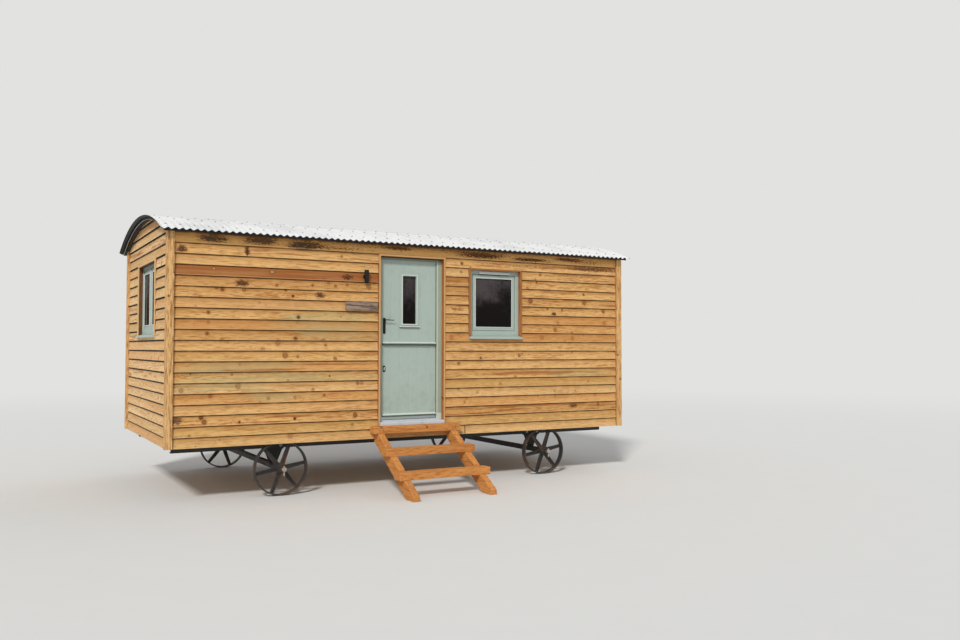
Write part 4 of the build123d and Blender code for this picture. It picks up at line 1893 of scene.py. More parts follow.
@dataclass
class Doorway:
    """Furniture and mouldings of the stable door."""

    finishes: Finishes
    lock_proud: float = 0.008
    bead_width: float = 0.013
    bead_depth: float = 0.009
    bead_reach: float = 0.018
    bead_arris: float = 0.0035
    sill: Strip = Strip(0.046, 0.014, 0.028, 0.040, 0.0015)
    sill_slope: float = 0.005
    sill_edge: float = 0.002
    # Sizes of the black strip under the pane's sill, a painted shadow line.
    drip: Strip = Strip(0.044, 0.009, 0.040, 0.045, 0.0012)
    lever: Lever = Lever()
    lock_seat: float = 0.002
    lock_arris: float = 0.0006
    lock_corner: float = 0.96
    lock_plates: tuple[LockPlate, ...] = (
        LockPlate("lock_ring", 0.0145, 0.031, 0.0028, "black", "black_metal"),
        LockPlate("lock_centre", 0.0068, 0.0180, 0.0042, "pale", "sage_paint"),
        LockPlate("lock_slot", 0.0018, 0.0080, 0.0052, "black", "black_metal"),
    )

    def strip(self, name: str, size: Strip, face: float) -> Piece:
        """Straight strip under the pane.

        Args:
            name: The piece's name.
            size: Its sizes.
            face: Depth of the leaf's face.

        Returns:
            The piece.
        """
        low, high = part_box("upper_leaf_glass")
        return Piece.box(
            name, (low.x - size.reach, face - size.proud, low.z - size.foot),
            (high.x + size.reach, face, low.z - size.top),
        )

    def pane_moulding(self) -> None:
        """Fits the quarter bead round the pane, and a small sloping sill with a black strip under
        it as its painted shadow.
        """
        low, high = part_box("upper_leaf_glass")
        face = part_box("lower_lock")[1].y - self.lock_proud
        reach = self.bead_reach
        bead = Piece.ring(
            "pane_bead", (low.x - reach, face, low.z - reach),
            (high.x + reach, face, high.z + reach), self.bead_width, self.bead_depth,
        )
        bead.soften(self.bead_arris, 3).smooth()
        sill = self.strip("pane_sill", self.sill, face)
        front = face - self.sill.proud + self.sill_edge
        top = low.z - self.sill.top - self.sill_edge
        with sill.editing("EDGE"):
            sill.pick_edges(lambda middle, run: middle.y < front and middle.z > top)
            bpy.ops.transform.translate(value=(0.0, 0.0, -self.sill_slope))
        sill.soften(self.sill.arris)
        # Black strip under the sill: painted shadow.
        drip = self.strip("pane_sill_drip", self.drip, face).soften(self.drip.arris)
        bead.hand_over(self.finishes["pale"], "sage_paint", "upper_leaf")
        sill.hand_over(self.finishes["pale"], "sage_paint", "upper_leaf")
        drip.hand_over(self.finishes["black"], "black_metal", "upper_leaf")

    def lever_set(self, name: str, toward: float) -> Piece:
        """Models the back plate, rose, scrolled lever and keyhole of one face of the leaf.

        Args:
            name: The piece's name.
            toward: -1 for the outside and 1 for the room's side.

        Returns:
            The piece.
        """
        size = self.lever
        low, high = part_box("door_handle")
        face = centre("door_handle").y + toward * size.seat
        x = low.x + size.plate_width / 2
        z = low.z + (high.z - low.z) * size.height
        near, far = sorted((face, face + toward * size.plate_depth))
        plate = Piece.plate(
            "plate", (low.x, near, low.z), (low.x + size.plate_width, far, high.z),
            size.plate_corner,
        )
        plate.soften(size.plate_arris)
        rose = Piece.rod(
            "rose", size.rose_radius, (x, face, z), (x, face + toward * size.rose_depth, z),
            size.rose_sides,
        )
        with rose.editing():
            rose.pick_faces((0.0, toward, 0.0))
            bpy.ops.mesh.inset(thickness=size.rose_inset, depth=0.0)
            bpy.ops.transform.translate(value=(0.0, toward * size.neck, 0.0))
        rose.soften(size.rose_arris)
        out = face + toward * size.reach
        ends = (x - size.tail, out, z), (x + size.grip, out, z)
        lever = Piece.rod("lever", size.radius, *ends, size.sides)
        with lever.editing():
            for step, thick, drop in size.scroll:
                move = Vector((step, 0.0, drop))
                end = lever.pick_faces((1.0, 0.0, 0.0)) + move
                bpy.ops.mesh.extrude_region_move(TRANSFORM_OT_translate={"value": move})
                bpy.ops.transform.resize(value=(1.0, thick, thick), center_override=end)
        lever.soften(size.arris)
        z = low.z + size.keyhole_height
        ends = (x, face, z), (x, face + toward * size.keyhole_depth, z)
        keyhole = Piece.rod("keyhole", size.keyhole_radius, *ends, size.sides)
        return join(name, [plate, rose, lever, keyhole]).smooth(50.0)

    def lock(self) -> None:
        """Fits an oval ring round a painted centre with a key slot."""
        front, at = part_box("lower_lock")[0].y, centre("lower_lock")
        for size in self.lock_plates:
            plate = Piece.plate(
                size.name, (at.x - size.half_width, front - size.proud, at.z - size.half_height),
                (at.x + size.half_width, front + self.lock_seat, at.z + size.half_height),
                size.half_width * self.lock_corner,
            )
            plate.soften(self.lock_arris).smooth()
            plate.hand_over(self.finishes[size.finish], size.slot, "lower_leaf")

    def build(self) -> None:
        """Fits the doorway."""
        self.pane_moulding()
        outside = self.lever_set("outer_lever_set", -1.0)
        inside = self.lever_set("inner_lever_set", 1.0)
        black = self.finishes["black"]
        outside.hand_over(black, "black_metal", "upper_leaf", stands_for=("door_handle",))
        inside.hand_over(black, "black_metal", "upper_leaf")
        self.lock()


@dataclass(frozen=True)
class Trim:
    """Sizes of a ring round a pane: its width, its depth, its step back and its growth."""

    kind: str
    width: float
    depth: float
    step: float
    grow: float


@dataclass
class Windows:
    """Glazing beads, gaskets and the trickle vent of the windows."""

    finishes: Finishes
    recess: float = 0.010
    trim_rounding: float = 0.45
    trims: tuple[Trim, ...] = (
        Trim("bead", 0.011, 0.007, 0.0, 0.011), Trim("gasket", 0.003, 0.004, 0.006, 0.0),
        Trim("sash_joint", 0.004, 0.0012, 0.0, 0.046),
    )
    vent_start: float = 0.136
    vent_length: float = 0.437
    vent_proud: float = 0.014
    vent_top: float = 0.014
    vent_foot: float = 0.045
    vent_inset: float = 0.006
    vent_arris: float = 0.002
    slot_margin: float = 0.005
    slot_proud: float = 0.011
    slot_foot: float = 0.052
    slot_lip: float = 0.0018
    slot_depth: float = 0.002
    slot_arris: float = 0.0006

    def glazing(self, name: str, window: str, start: float, end: float) -> None:
        """Fits the mitred bead and thin gasket round one light, and the front sash's joint.

        Args:
            name: The pieces' name.
            window: The window that the light is in.
            start: The light's left end, as seen from outside.
            end: Its right end.
        """
        turned = window == "left_window"
        low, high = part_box(window + "_glass")
        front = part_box(window + "_frame")[0]
        face = (front.x if turned else front.y) + self.recess
        for trim in self.trims[:2] if turned else self.trims:
            ring = Piece.ring(
                f"{name}_{trim.kind}", (start - trim.grow, face + trim.step, low.z - trim.grow),
                (end + trim.grow, face + trim.step, high.z + trim.grow), trim.width, trim.depth,
            )
            ring.soften(trim.depth * self.trim_rounding)
            if turned:
                ring.move(Matrix.Rotation(-math.pi / 2, 4, "Z"))
            pale = trim.kind == "bead"
            finish, slot = ("pale", "sage_paint") if pale else ("black", "black_metal")
            ring.hand_over(self.finishes[finish], slot)

    def vent(self) -> None:
        """Fits a slotted trickle vent on the head of the front window's frame."""
        low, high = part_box("front_window_frame")
        left = low.x + self.vent_start
        right = left + self.vent_length
        foot = high.z - self.vent_foot
        cover = Piece.box(
            "trickle_vent", (left, low.y - self.vent_proud, foot),
            (right, low.y, high.z - self.vent_top),
        )
        with cover.editing():
            cover.pick_faces(FRONT)
            bpy.ops.mesh.inset(thickness=self.vent_inset, depth=0.0)
            bpy.ops.mesh.subdivide(number_cuts=1)
        cover.soften(self.vent_arris).hand_over(self.finishes["pale"], "sage_paint")
        margin = self.slot_margin
        slot = Piece.box(
            "vent_slot", (left + margin, low.y - self.slot_proud, high.z - self.slot_foot),
            (right - margin, low.y, foot),
        )
        with slot.editing():
            slot.pick_faces(FRONT)
            bpy.ops.mesh.inset(thickness=self.slot_lip, depth=-self.slot_depth)
        slot.soften(self.slot_arris).hand_over(self.finishes["black"], "black_metal")

    def build(self) -> None:
        """Fits both windows."""
        low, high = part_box("front_window_glass")
        self.glazing("front_window", "front_window", low.x, high.x)
        low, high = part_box("left_window_glass")
        middle = centre("left_window_glass").y
        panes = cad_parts["left_window_glass"].data.vertices
        half_gap = min(abs(corner.co.y - middle) for corner in panes)
        self.glazing("left_window_near", "left_window", half_gap - middle, -low.y)
        self.glazing("left_window_far", "left_window", -high.y, -middle - half_gap)
        self.vent()


@dataclass
class Fittings:
    """Wall lamp and name board."""

    finishes: Finishes
    cladding: float = 0.018
    rim: float = 0.003
    rim_depth: float = 0.012
    band_heights: tuple[float, float] = (0.02, 0.13)
    band_half: float = 0.002
    band_proud: float = 0.0006
    plate_radius: float = 0.027
    plate_proud: float = 0.012
    plate_seat: float = 0.006
    arm_half: tuple[float, float] = (0.009, 0.012)
    mount_arris: float = 0.002
    lamp_arris: float = 0.0012
    lamp_sides: int = 40
    flat_sides: int = 32
    lens_gap: float = 0.004
    lens_inset: float = 0.011
    lens_half: float = 0.001
    lens_arris: float = 0.0006
    plank_cuts: int = 9
    plank_wander: float = 0.0016
    plank_seed: int = 5
    edge_reach: float = 1e-4
    plank_arris: float = 0.003
    plank_mark: Triple = (0.37, 0.5, 0.0)
    screw: Stud = Stud(0.0042, -0.001, 0.0012, 16, rounding=0.0007)
    screw_margin: float = 0.022

    def lamp(self) -> None:
        """Fits the cylinder lamp that shines up and down, on its bracket."""
        low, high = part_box("wall_light")
        radius = (high.x - low.x) / 2
        x, y, middle = centre("wall_light").x, low.y + radius, centre("wall_light").z
        wall = high.y - self.cladding
        body = Piece.rod("body", radius, (x, y, low.z), (x, y, high.z), self.lamp_sides)
        with body.editing():
            for end in (-UP, UP):
                body.pick_faces(end)
                bpy.ops.mesh.inset(thickness=self.rim, depth=0.0)
                bpy.ops.mesh.inset(thickness=0.0, depth=-self.rim_depth)
        parts = [body.soften(self.lamp_arris)]
        for height in self.band_heights:
            z = low.z + height
            ends = (x, y, z - self.band_half), (x, y, z + self.band_half)
            ring = Piece.rod("ring", radius + self.band_proud, *ends, self.lamp_sides)
            parts.append(ring.soften(self.band_proud))
        ends = (x, wall - self.plate_proud, middle), (x, wall + self.plate_seat, middle)
        plate = Piece.rod("plate", self.plate_radius, *ends, self.flat_sides)
        parts.append(plate.soften(self.mount_arris))
        wide, tall = self.arm_half
        arm = Piece.box(
            "arm", (x - wide, y, middle - tall), (x + wide, wall - self.plate_seat, middle + tall)
        )
        lamp = join("wall_lamp", [*parts, arm.soften(self.mount_arris)]).smooth(35.0)
        lamp.hand_over(self.finishes["black"], "black_metal", stands_for=("wall_light",))
        lenses = []
        for z in (low.z + self.lens_inset, high.z - self.lens_inset):
            ends = (x, y, z - self.lens_half), (x, y, z + self.lens_half)
            lens = Piece.rod("lens", radius - self.lens_gap, *ends, self.flat_sides)
            lenses.append(lens.soften(self.lens_arris))
        join("lamp_lenses", lenses).hand_over(self.finishes["glass"], "pane")

    def name_board(self) -> None:
        """Fits a weathered plank, bare, with a screw at each end."""
        low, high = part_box("name_board")
        plank = Piece.box("name_plank", low, (high.x, high.y - self.cladding, high.z))
        with plank.editing():
            bpy.ops.mesh.select_all(action="SELECT")
            bpy.ops.mesh.subdivide(number_cuts=self.plank_cuts)
        wave = random.Random(self.plank_seed)
        for corner in plank.obj.data.vertices:
            if min(abs(corner.co.z - low.z), abs(corner.co.z - high.z)) < self.edge_reach:
                corner.co.z += wave.uniform(-self.plank_wander, self.plank_wander)
        plank.soften(self.plank_arris).mark("plank", self.plank_mark).smooth()
        plank.hand_over(self.finishes["plaque"], "plaque_wood", stands_for=("name_board",))
        ends = (low.x + self.screw_margin, high.x - self.screw_margin)
        places = [shift(x, low.y, centre("name_board").z) for x in ends]
        screws = scatter("name_board_screws", self.screw.build(FRONT), places)
        screws.hand_over(self.finishes["zinc"], "hinge_steel")

    def build(self) -> None:
        """Fits the lamp and the name board."""
        self.lamp()
        self.name_board()


@dataclass
class Ironwork:
    """Bolts on the steps and under the floor."""

    finishes: Finishes
    step_bolt: float = 0.0032
    step_bolt_offset: float = 0.020
    tread_screw: Stud = Stud(0.0048, -0.001, 0.0006, 12, 0.0022, -0.0008)
    tread_shares: tuple[float, float] = (0.3, 0.7)
    frame_bolt: float = 0.010
    bracket_offset: float = 0.075
    rail_margin: float = 0.03
    rail_shares: tuple[float, ...] = (0.05, 0.27, 0.39, 0.5, 0.61, 0.73, 0.95)
    washer_depth: float = 0.0022
    washer_seat: float = 0.0005
    washer_arris: float = 0.0006
    washer_share: float = 1.7
    head_share: float = 1.1
    inset_share: float = 0.16
    crown_share: float = 0.1

    def bolt(self, radius: float) -> Piece:
        """Models one hexagon head on a washer, facing the front, at the origin.

        Args:
            radius: The head's radius.

        Returns:
            The bolt.
        """
        washer = Stud(
            radius * self.washer_share, -self.washer_seat, self.washer_depth, 20,
            rounding=self.washer_arris,
        )
        head = Stud(
            radius, self.washer_depth, self.washer_depth + radius * self.head_share, 6,
            radius * self.inset_share, radius * self.crown_share,
        )
        return join("bolt", [washer.build(FRONT), head.build(FRONT)])

    def step_bolts(self) -> None:
        """Drives two coach bolts through the top tread into each stringer."""
        front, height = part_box("top_tread")[0].y, centre("top_tread").z
        places = [
            shift(centre(side).x + offset, front, height)
            for side in ("left_stringer", "right_stringer")
            for offset in (-self.step_bolt_offset, self.step_bolt_offset)
        ]
        bolts = scatter("step_bolts", self.bolt(self.step_bolt), places)
        bolts.hand_over(self.finishes["black"], "black_metal")

    def tread_screws(self) -> None:
        """Drives countersunk screws down through the treads."""
        facing_up = Matrix.Rotation(-math.pi / 2, 4, "X")
        places = []
        for tread in ("middle_tread", "bottom_tread", "top_tread"):
            low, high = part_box(tread)
            for side in ("left_stringer", "right_stringer"):
                for share in self.tread_shares:
                    y = low.y + (high.y - low.y) * share
                    places.append(shift(centre(side).x, y, high.z) @ facing_up)
        screws = scatter("tread_screws", self.tread_screw.build(FRONT), places)
        screws.hand_over(self.finishes["zinc"], "hinge_steel")

    def frame_bolts(self) -> None:
        """Drives plated bolts that hold the axle brackets and the floor to the rails."""
        low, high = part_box("chassis_rails")
        places = [
            shift(centre(side).x + offset, low.y, low.z + self.rail_margin)
            for side in ("left_axle", "right_axle")
            for offset in (-self.bracket_offset, self.bracket_offset)
        ]
        for share in self.rail_shares:
            x = low.x + (high.x - low.x) * share
            places.append(shift(x, low.y, high.z - self.rail_margin))
        mirror = shift(0.0, low.y + high.y, 0.0) @ Matrix.Diagonal((1.0, -1.0, 1.0, 1.0))
        turned = [mirror @ place @ Matrix.Diagonal((-1.0, 1.0, 1.0, 1.0)) for place in places]
        bolts = scatter("frame_bolts", self.bolt(self.frame_bolt), places + turned)
        bolts.hand_over(self.finishes["zinc"], "hinge_steel")

    def build(self) -> None:
        """Drives the bolts and screws."""
        self.step_bolts()
        self.tread_screws()
        self.frame_bolts()


@dataclass(frozen=True)
class Dressing:
    """Finish and edge rounding of the frame's own nodes."""

    finish: str
    nodes: tuple[str, ...]
    rounding: float = 0.0
    weld: float = 0.00002
    flat: float = math.radians(0.6)
    sharp: float = math.radians(40.0)

    def apply(self, finishes: Finishes) -> None:
        """Dresses the nodes.

        Args:
            finishes: Every finish of the hut.
        """
        for name in self.nodes:
            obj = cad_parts[name]
            obj.data.materials.clear()
            obj.data.materials.append(finishes[self.finish])
            if self.rounding > 0.0:
                add_modifier(obj, "WELD", merge_threshold=self.weld)
                add_modifier(obj, "DECIMATE", decimate_type="DISSOLVE", angle_limit=self.flat)
                add_modifier(
                    obj, "BEVEL", width=self.rounding, segments=2, limit_method="ANGLE",
                    angle_limit=self.sharp,
                )
            log.info("dressed %s", name)


DRESSINGS = (
    Dressing("inner", (
        "front_wall_left", "front_wall_over_door", "front_wall_between",
        "front_wall_under_window", "front_wall_over_window", "front_wall_right", "back_wall",
        "floor_frame", "floor_boards",
    )),
    Dressing("inner_gable", (
        "left_gable_front", "left_gable_under_window", "left_gable_over_window",
        "left_gable_back", "right_gable", "roof_deck",
    )),
    Dressing("post", ("corner_posts",), 0.003),
    Dressing("liner", ("door_liner",), 0.0015),
    Dressing("window_liner", ("front_window_liner",), 0.0015),
    Dressing("side_liner", ("left_window_liner",), 0.0015),
    Dressing("tread", ("top_tread", "middle_tread", "bottom_tread"), 0.004),
    Dressing("stringer", ("left_stringer", "right_stringer"), 0.004),
    Dressing("leaf", ("upper_leaf", "lower_leaf"), 0.0015),
    Dressing("frame", ("door_frame",), 0.0015),
    Dressing("sage", ("front_window_frame", "front_window_sill", "left_window_sill"), 0.003),
    Dressing("side_frame", ("left_window_frame",), 0.003),
    Dressing("sill", ("door_sill",), 0.003),
    Dressing("stain", ("left_barge_board", "right_barge_board"), 0.002),
    Dressing("glass", ("upper_leaf_glass", "front_window_glass", "left_window_glass")),
    Dressing("zinc", ("upper_leaf_hinges", "lower_leaf_hinges", "frame_hinges")),
    Dressing("black", ("lower_lock",), 0.001),
    Dressing("wheel", (
        "wheel_front_left", "wheel_front_right", "wheel_back_left", "wheel_back_right",
    )),
    Dressing("axle", ("left_axle", "right_axle"), 0.0015),
    Dressing("rail", ("chassis_rails", "chassis_crossmembers"), 0.002),
)


@dataclass(frozen=True)
class Sun:
    """Soft sun: where its light comes from, how strong, wide in degrees and tinted it is."""

    name: str
    source: Triple
    strength: float
    spread: float
    tint: Colour

    def shine(self) -> None:
        """Adds the sun."""
        data = bpy.data.lights.new(self.name, "SUN")
        data.energy = self.strength
        data.angle = math.radians(self.spread)
        data.color = self.tint
        lamp = bpy.data.objects.new(self.name, data)
        bpy.context.collection.objects.link(lamp)
        lamp.rotation_euler = Vector(self.source).to_track_quat("Z", "Y").to_euler()


@dataclass
class Studio:
    """Pale floor, soft light and the camera."""

    place: Triple = (-4.5215, -10.0162, 1.5762)
    turn: float = 29.892
    tilt: float = 1.834
    roll: float = 0.106
    focal_pixels: float = 874.86
    frame_pixels: float = 960.0
    sensor: float = 36.0
    clip_end: float = 300.0
    floor_radius: float = 60.0
    fade: tuple[float, float] = (9.0, 26.0)
    paper: Colour = srgb(226, 226, 224)
    sky: Colour = (0.93, 0.96, 1.0)
    sky_strength: float = 0.42
    suns: tuple[Sun, ...] = (
        Sun("key", (-0.56, -0.64, 0.72), 2.2, 9.0, (1.0, 0.97, 0.93)),
        Sun("fill", (0.9, 0.35, 0.8), 0.35, 60.0, (0.92, 0.96, 1.0)),
    )

    def camera(self) -> None:
        """Sets the camera where the view is taken from."""
        data = bpy.data.cameras.new("viewpoint")
        data.sensor_width = self.sensor
        data.lens = self.focal_pixels / self.frame_pixels * self.sensor
        data.clip_end = self.clip_end
        camera = bpy.data.objects.new("viewpoint", data)
        bpy.context.collection.objects.link(camera)
        camera.matrix_world = (
            Matrix.Translation(self.place)
            @ Matrix.Rotation(-math.radians(self.turn), 4, "Z")
            @ Matrix.Rotation(math.radians(90.0 + self.tilt), 4, "X")
            @ Matrix.Rotation(math.radians(self.roll), 4, "Z")
        )
        bpy.context.scene.camera = camera

    def floor(self) -> None:
        """Lays a round pale floor that fades into the background far away."""
        shade = Shade("studio_floor")
        x, y, _ = shade.place
        away = (x * x + y * y) ** 0.5
        light = shade.node("ShaderNodeEmission", {}, {"Color": self.paper})
        ends = {"Shader": shade.surface.outputs[0], "Shader_001": light.outputs[0]}
        mix = shade.node("ShaderNodeMixShader", {}, {"Fac": away.between(*self.fade), **ends})
        shade.feed(shade.output.inputs["Surface"], mix.outputs[0])
        grain = shade.noise(shade.point(x, y, 0.0), 3.0, 4.0)
        dull = tuple(level * 0.97 for level in self.paper)
        material = shade.finish(shade.blend(dull, self.paper, grain), 0.9)
        idle()
        bpy.ops.mesh.primitive_circle_add(
            vertices=96, radius=self.floor_radius, fill_type="NGON"
        )
        floor = Piece.settle("studio_floor")
        floor.obj.data.materials.append(material)

    def light(self) -> None:
        """Sets soft light all round, with a broad key from the front and the left."""
        world = bpy.data.worlds.new("studio")
        bpy.context.scene.world = world
        world.use_nodes = True
        tree = Tree(world.node_tree)
        path = tree.node("ShaderNodeLightPath")
        camera, glossy, through = (
            Value(tree, path.outputs[f"Is {ray} Ray"])
            for ray in ("Camera", "Glossy", "Transmission")
        )
        seen = camera.math("MAXIMUM", glossy).math("MAXIMUM", through)
        sky = {"Color": self.sky, "Strength": self.sky_strength}
        ends = {
            "Shader": tree.node("ShaderNodeBackground", {}, sky).outputs[0],
            "Shader_001": tree.node("ShaderNodeBackground", {}, {"Color": self.paper}).outputs[0],
        }
        mix = tree.node("ShaderNodeMixShader", {}, {"Fac": seen, **ends})
        tree.node("ShaderNodeOutputWorld", {}, {"Surface": mix.outputs[0]})
        for sun in self.suns:
            sun.shine()

    def build(self) -> None:
        """Sets the stage."""
        self.camera()
        self.floor()
        self.light()
        bpy.context.scene.view_settings.view_transform = "Standard"


def patches(*rows: tuple[float, float, float, float]) -> tuple[Patch, ...]:
    """Oval marks, by place along the wall, height, half length and half height."""
    return tuple(Patch(*row) for row in rows)


def round_marks(grow: float, *rows: Triple) -> tuple[Patch, ...]:
    """Round marks, by place along the wall, height and radius, all enlarged alike."""
    return patches(*((along, height, size * grow, size * grow) for along, height, size in rows))


def tones(*levels: Triple) -> dict[str, Colour]:
    """Pale wood, late wood and knots of a kind of timber, from their levels as seen."""
    return dict(zip(("pale", "late", "knot_colour"), (srgb(*level) for level in levels)))


@dataclass
class Palette:
    """Every finish of the hut, made once, with the marks that stand out on its front."""

    hut: Hut
    face_depth: float = 0.002
    bar_depth: float = 0.003
    outer_margin: float = 0.012
    mould: tuple[Patch, ...] = patches(
        (-2.43, 2.71, 0.21, 0.06), (-1.94, 2.715, 0.24, 0.06), (-1.45, 2.69, 0.24, 0.055),
        (-2.78, 0.84, 0.09, 0.045),
    )
    hearts: tuple[Patch, ...] = patches(
        (1.57, 1.265, 1.30, 0.028), (-1.70, 1.342, 0.95, 0.020), (-1.05, 1.395, 0.55, 0.014),
    )
    plugs: tuple[Patch, ...] = patches((-1.809, 2.381, 0.026, 0.020), (-2.42, 2.39, 0.016, 0.012))
    # Brown weathering; the first patch, along the whole top row, is also painted shade under the
    # eave.
    browned: tuple[Patch, ...] = patches(
        (0.0, 2.77, 3.4, 0.10), (0.75, 2.68, 0.45, 0.05), (1.5, 2.66, 0.5, 0.05),
        (2.3, 2.69, 0.5, 0.06), (1.25, 2.60, 0.9, 0.03), (2.1, 2.51, 0.55, 0.035),
        (-1.2, 2.68, 0.7, 0.05), (0.42, 2.04, 0.16, 0.04),
    )
    burrs: tuple[Patch, ...] = patches(
        (-2.74, 2.576, 0.07, 0.05), (-2.08, 2.59, 0.04, 0.06), (-0.96, 2.363, 0.09, 0.045),
        (-2.13, 2.249, 0.10, 0.05), (-1.28, 2.151, 0.08, 0.045), (2.12, 0.843, 0.09, 0.04),
        (1.82, 2.010, 0.05, 0.03), (2.40, 2.605, 0.55, 0.04), (0.75, 2.70, 0.45, 0.05),
        (1.45, 2.68, 0.35, 0.03), (2.05, 2.71, 0.30, 0.03), (-0.35, 2.72, 0.25, 0.03),
    )
    green: tuple[Patch, ...] = patches(
        (-1.1, 1.84, 0.75, 0.20), (-2.2, 1.36, 0.9, 0.12), (-2.3, 1.2, 0.8, 0.10),
        (-1.4, 1.27, 1.0, 0.08), (2.2, 1.27, 0.6, 0.06), (-1.75, 1.05, 0.5, 0.06),
    )
    spots: tuple[Patch, ...] = round_marks(
        1.25,
        (-2.47, 1.938, 0.013), (-2.47, 1.839, 0.013), (-2.48, 1.721, 0.014),
        (-1.52, 1.904, 0.017), (-1.55, 1.673, 0.016), (-1.21, 1.604, 0.011),
        (-0.83, 1.184, 0.015), (-2.44, 1.081, 0.017), (-1.22, 1.058, 0.012),
        (-2.53, 0.862, 0.018), (-1.55, 0.816, 0.012), (-2.33, 2.181, 0.016),
        (-1.66, 2.191, 0.010), (0.49, 2.586, 0.014), (0.48, 2.485, 0.012),
        (2.29, 2.269, 0.011), (0.75, 1.454, 0.013), (0.45, 1.395, 0.014),
        (2.36, 1.150, 0.010), (0.45, 1.089, 0.010), (0.53, 0.933, 0.011),
        (2.47, 0.966, 0.010), (1.56, 2.400, 0.010),
    )
    eyes: tuple[Patch, ...] = round_marks(
        1.12,
        (-1.74, 1.631, 0.022), (-1.66, 1.493, 0.022), (-1.10, 1.458, 0.015),
        (-2.16, 1.177, 0.022), (-2.73, 1.142, 0.017), (-1.84, 1.042, 0.014),
        (-2.50, 0.815, 0.018), (-0.86, 0.829, 0.020), (-1.60, 0.636, 0.022),
        (-1.76, 2.242, 0.012), (-1.10, 2.258, 0.012), (0.35, 1.700, 0.021),
        (1.47, 2.166, 0.024), (2.30, 2.170, 0.024), (2.61, 2.058, 0.017),
        (2.62, 1.908, 0.020), (1.88, 1.896, 0.015), (1.84, 1.808, 0.019),
        (1.64, 1.710, 0.022), (2.11, 1.703, 0.020), (1.30, 1.486, 0.016),
        (1.84, 0.970, 0.015), (2.52, 0.845, 0.016),
    )

    def cladding(self) -> dict[str, BoardTimber]:
        """Timber of the boards outside.

        Returns:
            The finishes by name.
        """
        ground = self.hut.ground_line
        honey = tones((230, 182, 116), (181, 120, 58), (66, 34, 16))
        pale = tones((246, 208, 154), (212, 158, 98), (80, 46, 24))
        laps = {"along": Along.LENGTH, "lowest_lap": ground, "knot_spacing": 0.29, **honey}
        return {
            "front": BoardTimber(
                "cladding_front", stains=self.mould, browned=self.browned, burrs=self.burrs,
                tints=self.green, spots=self.spots, eyes=self.eyes, hearts=self.hearts,
                plugs=self.plugs, knot_share=0.4,
                # Painted light covers the top row of boards, under the eave.
                shelter_line=ground + 19 * BoardTimber.pitch - 0.006, **laps,
            ),
            "back": BoardTimber("cladding_back", **laps),
            "gable": BoardTimber(
                "cladding_gable", along=Along.WIDTH, lowest_lap=ground + 0.003,
                # Near-black painted shade under each gable lap.
                lap_shadow=(0.79, 0.90), lap_dirt=srgb(12, 6, 3), lap_share=0.95, **pale,
            ),
        }

    def timber(self) -> dict[str, Timber]:
        """Timber of the posts, steps, reveals, room and name board.

        Returns:
            The finishes by name.
        """
        orange = tones((212, 146, 80), (178, 110, 52), (100, 56, 26))
        oiled = tones((182, 118, 66), (150, 88, 44), (72, 38, 20))
        # Oiled timber darkened as painted shade inside the gable window's reveal.
        dark = tones((120, 76, 44), (92, 56, 30), (48, 28, 16))
        planed = tones((222, 178, 120), (184, 132, 76), (90, 54, 32))
        grey = tones((160, 140, 122), (96, 76, 64), (58, 46, 38))
        hut, slab = self.hut, self.hut.slab_depth
        step = {"heart_depth": 0.05, **orange}
        reveal = {
            "along": Along.HEIGHT, "edge_place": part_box("door_liner")[0].y, **oiled,
        }
        room = {
            "room_low": (hut.left + slab, hut.front + slab),
            "room_high": (hut.right - slab, hut.back - slab), **planed,
        }
        return {
            "post": Timber(
                "post_timber", along=Along.HEIGHT, streaks=4.2, fleck_share=0.9, **planed
            ),
            "tread": Timber("tread_timber", along=Along.LENGTH, **step),
            "stringer": Timber("stringer_timber", along=Along.WIDTH, **step),
            "liner": LinerTimber("liner_timber", **reveal),
            "window_liner": LinerTimber(
                "window_liner_timber", front_edge=srgb(160, 108, 64), **reveal
            ),
            "side_liner": LinerTimber(
                "side_liner_timber", along=Along.HEIGHT, edge_axis=0, edge_depth=0.014,
                edge_place=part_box("left_window_liner")[0].x, front_edge=srgb(228, 190, 136),
                edge_share=0.95, **dark,
            ),
            "inner": InnerBoards("inner_boards", along=Along.LENGTH, **room),
            "inner_gable": InnerBoards("inner_gable_boards", along=Along.WIDTH, **room),
            "plaque": Timber(
                "plaque_timber", along=Along.LENGTH, roughness=0.85, knot_share=0.0,
                streaks=4.0, **grey,
            ),
        }

    def paint(self) -> dict[str, Paint]:
        """Paint of the joinery.

        Returns:
            The finishes by name.
        """
        sage = srgb(171, 187, 178)
        side_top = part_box("left_window_frame")[1].z
        # Painted shade across the top of the gable window's frame, under its head.
        head = Band(2, side_top - 0.065, side_top + 0.01, srgb(52, 58, 50), 0.7)
        return {
            "sage": Paint("sage_paint", sage, Along.HEIGHT),
            "leaf": Paint(
                "leaf_paint", sage, Along.HEIGHT, bands=self.leaf_bands(),
                splash_top=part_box("door_sill")[1].z + 0.45,
            ),
            "frame": Paint(
                "frame_paint", srgb(160, 173, 155), Along.HEIGHT, bands=self.frame_bands()
            ),
            # Pale blue sage: painted sky light on the door sill's upward faces.
            "sill": Paint("sill_paint", srgb(200, 206, 212), Along.LENGTH, grime_share=0.2),
            "pale": Paint("vent_paint", srgb(208, 214, 210), Along.LENGTH, grime_share=0.05),
            "drip": Paint("drip_paint", srgb(150, 156, 146), Along.WIDTH),
            "stain": Paint(
                "black_stain", srgb(22, 19, 17), Along.WIDTH, 0.6, wear=srgb(90, 80, 70),
                gloss=0.15,
            ),
            "side_frame": Paint("side_frame_paint", sage, Along.HEIGHT, bands=(head,)),
        }

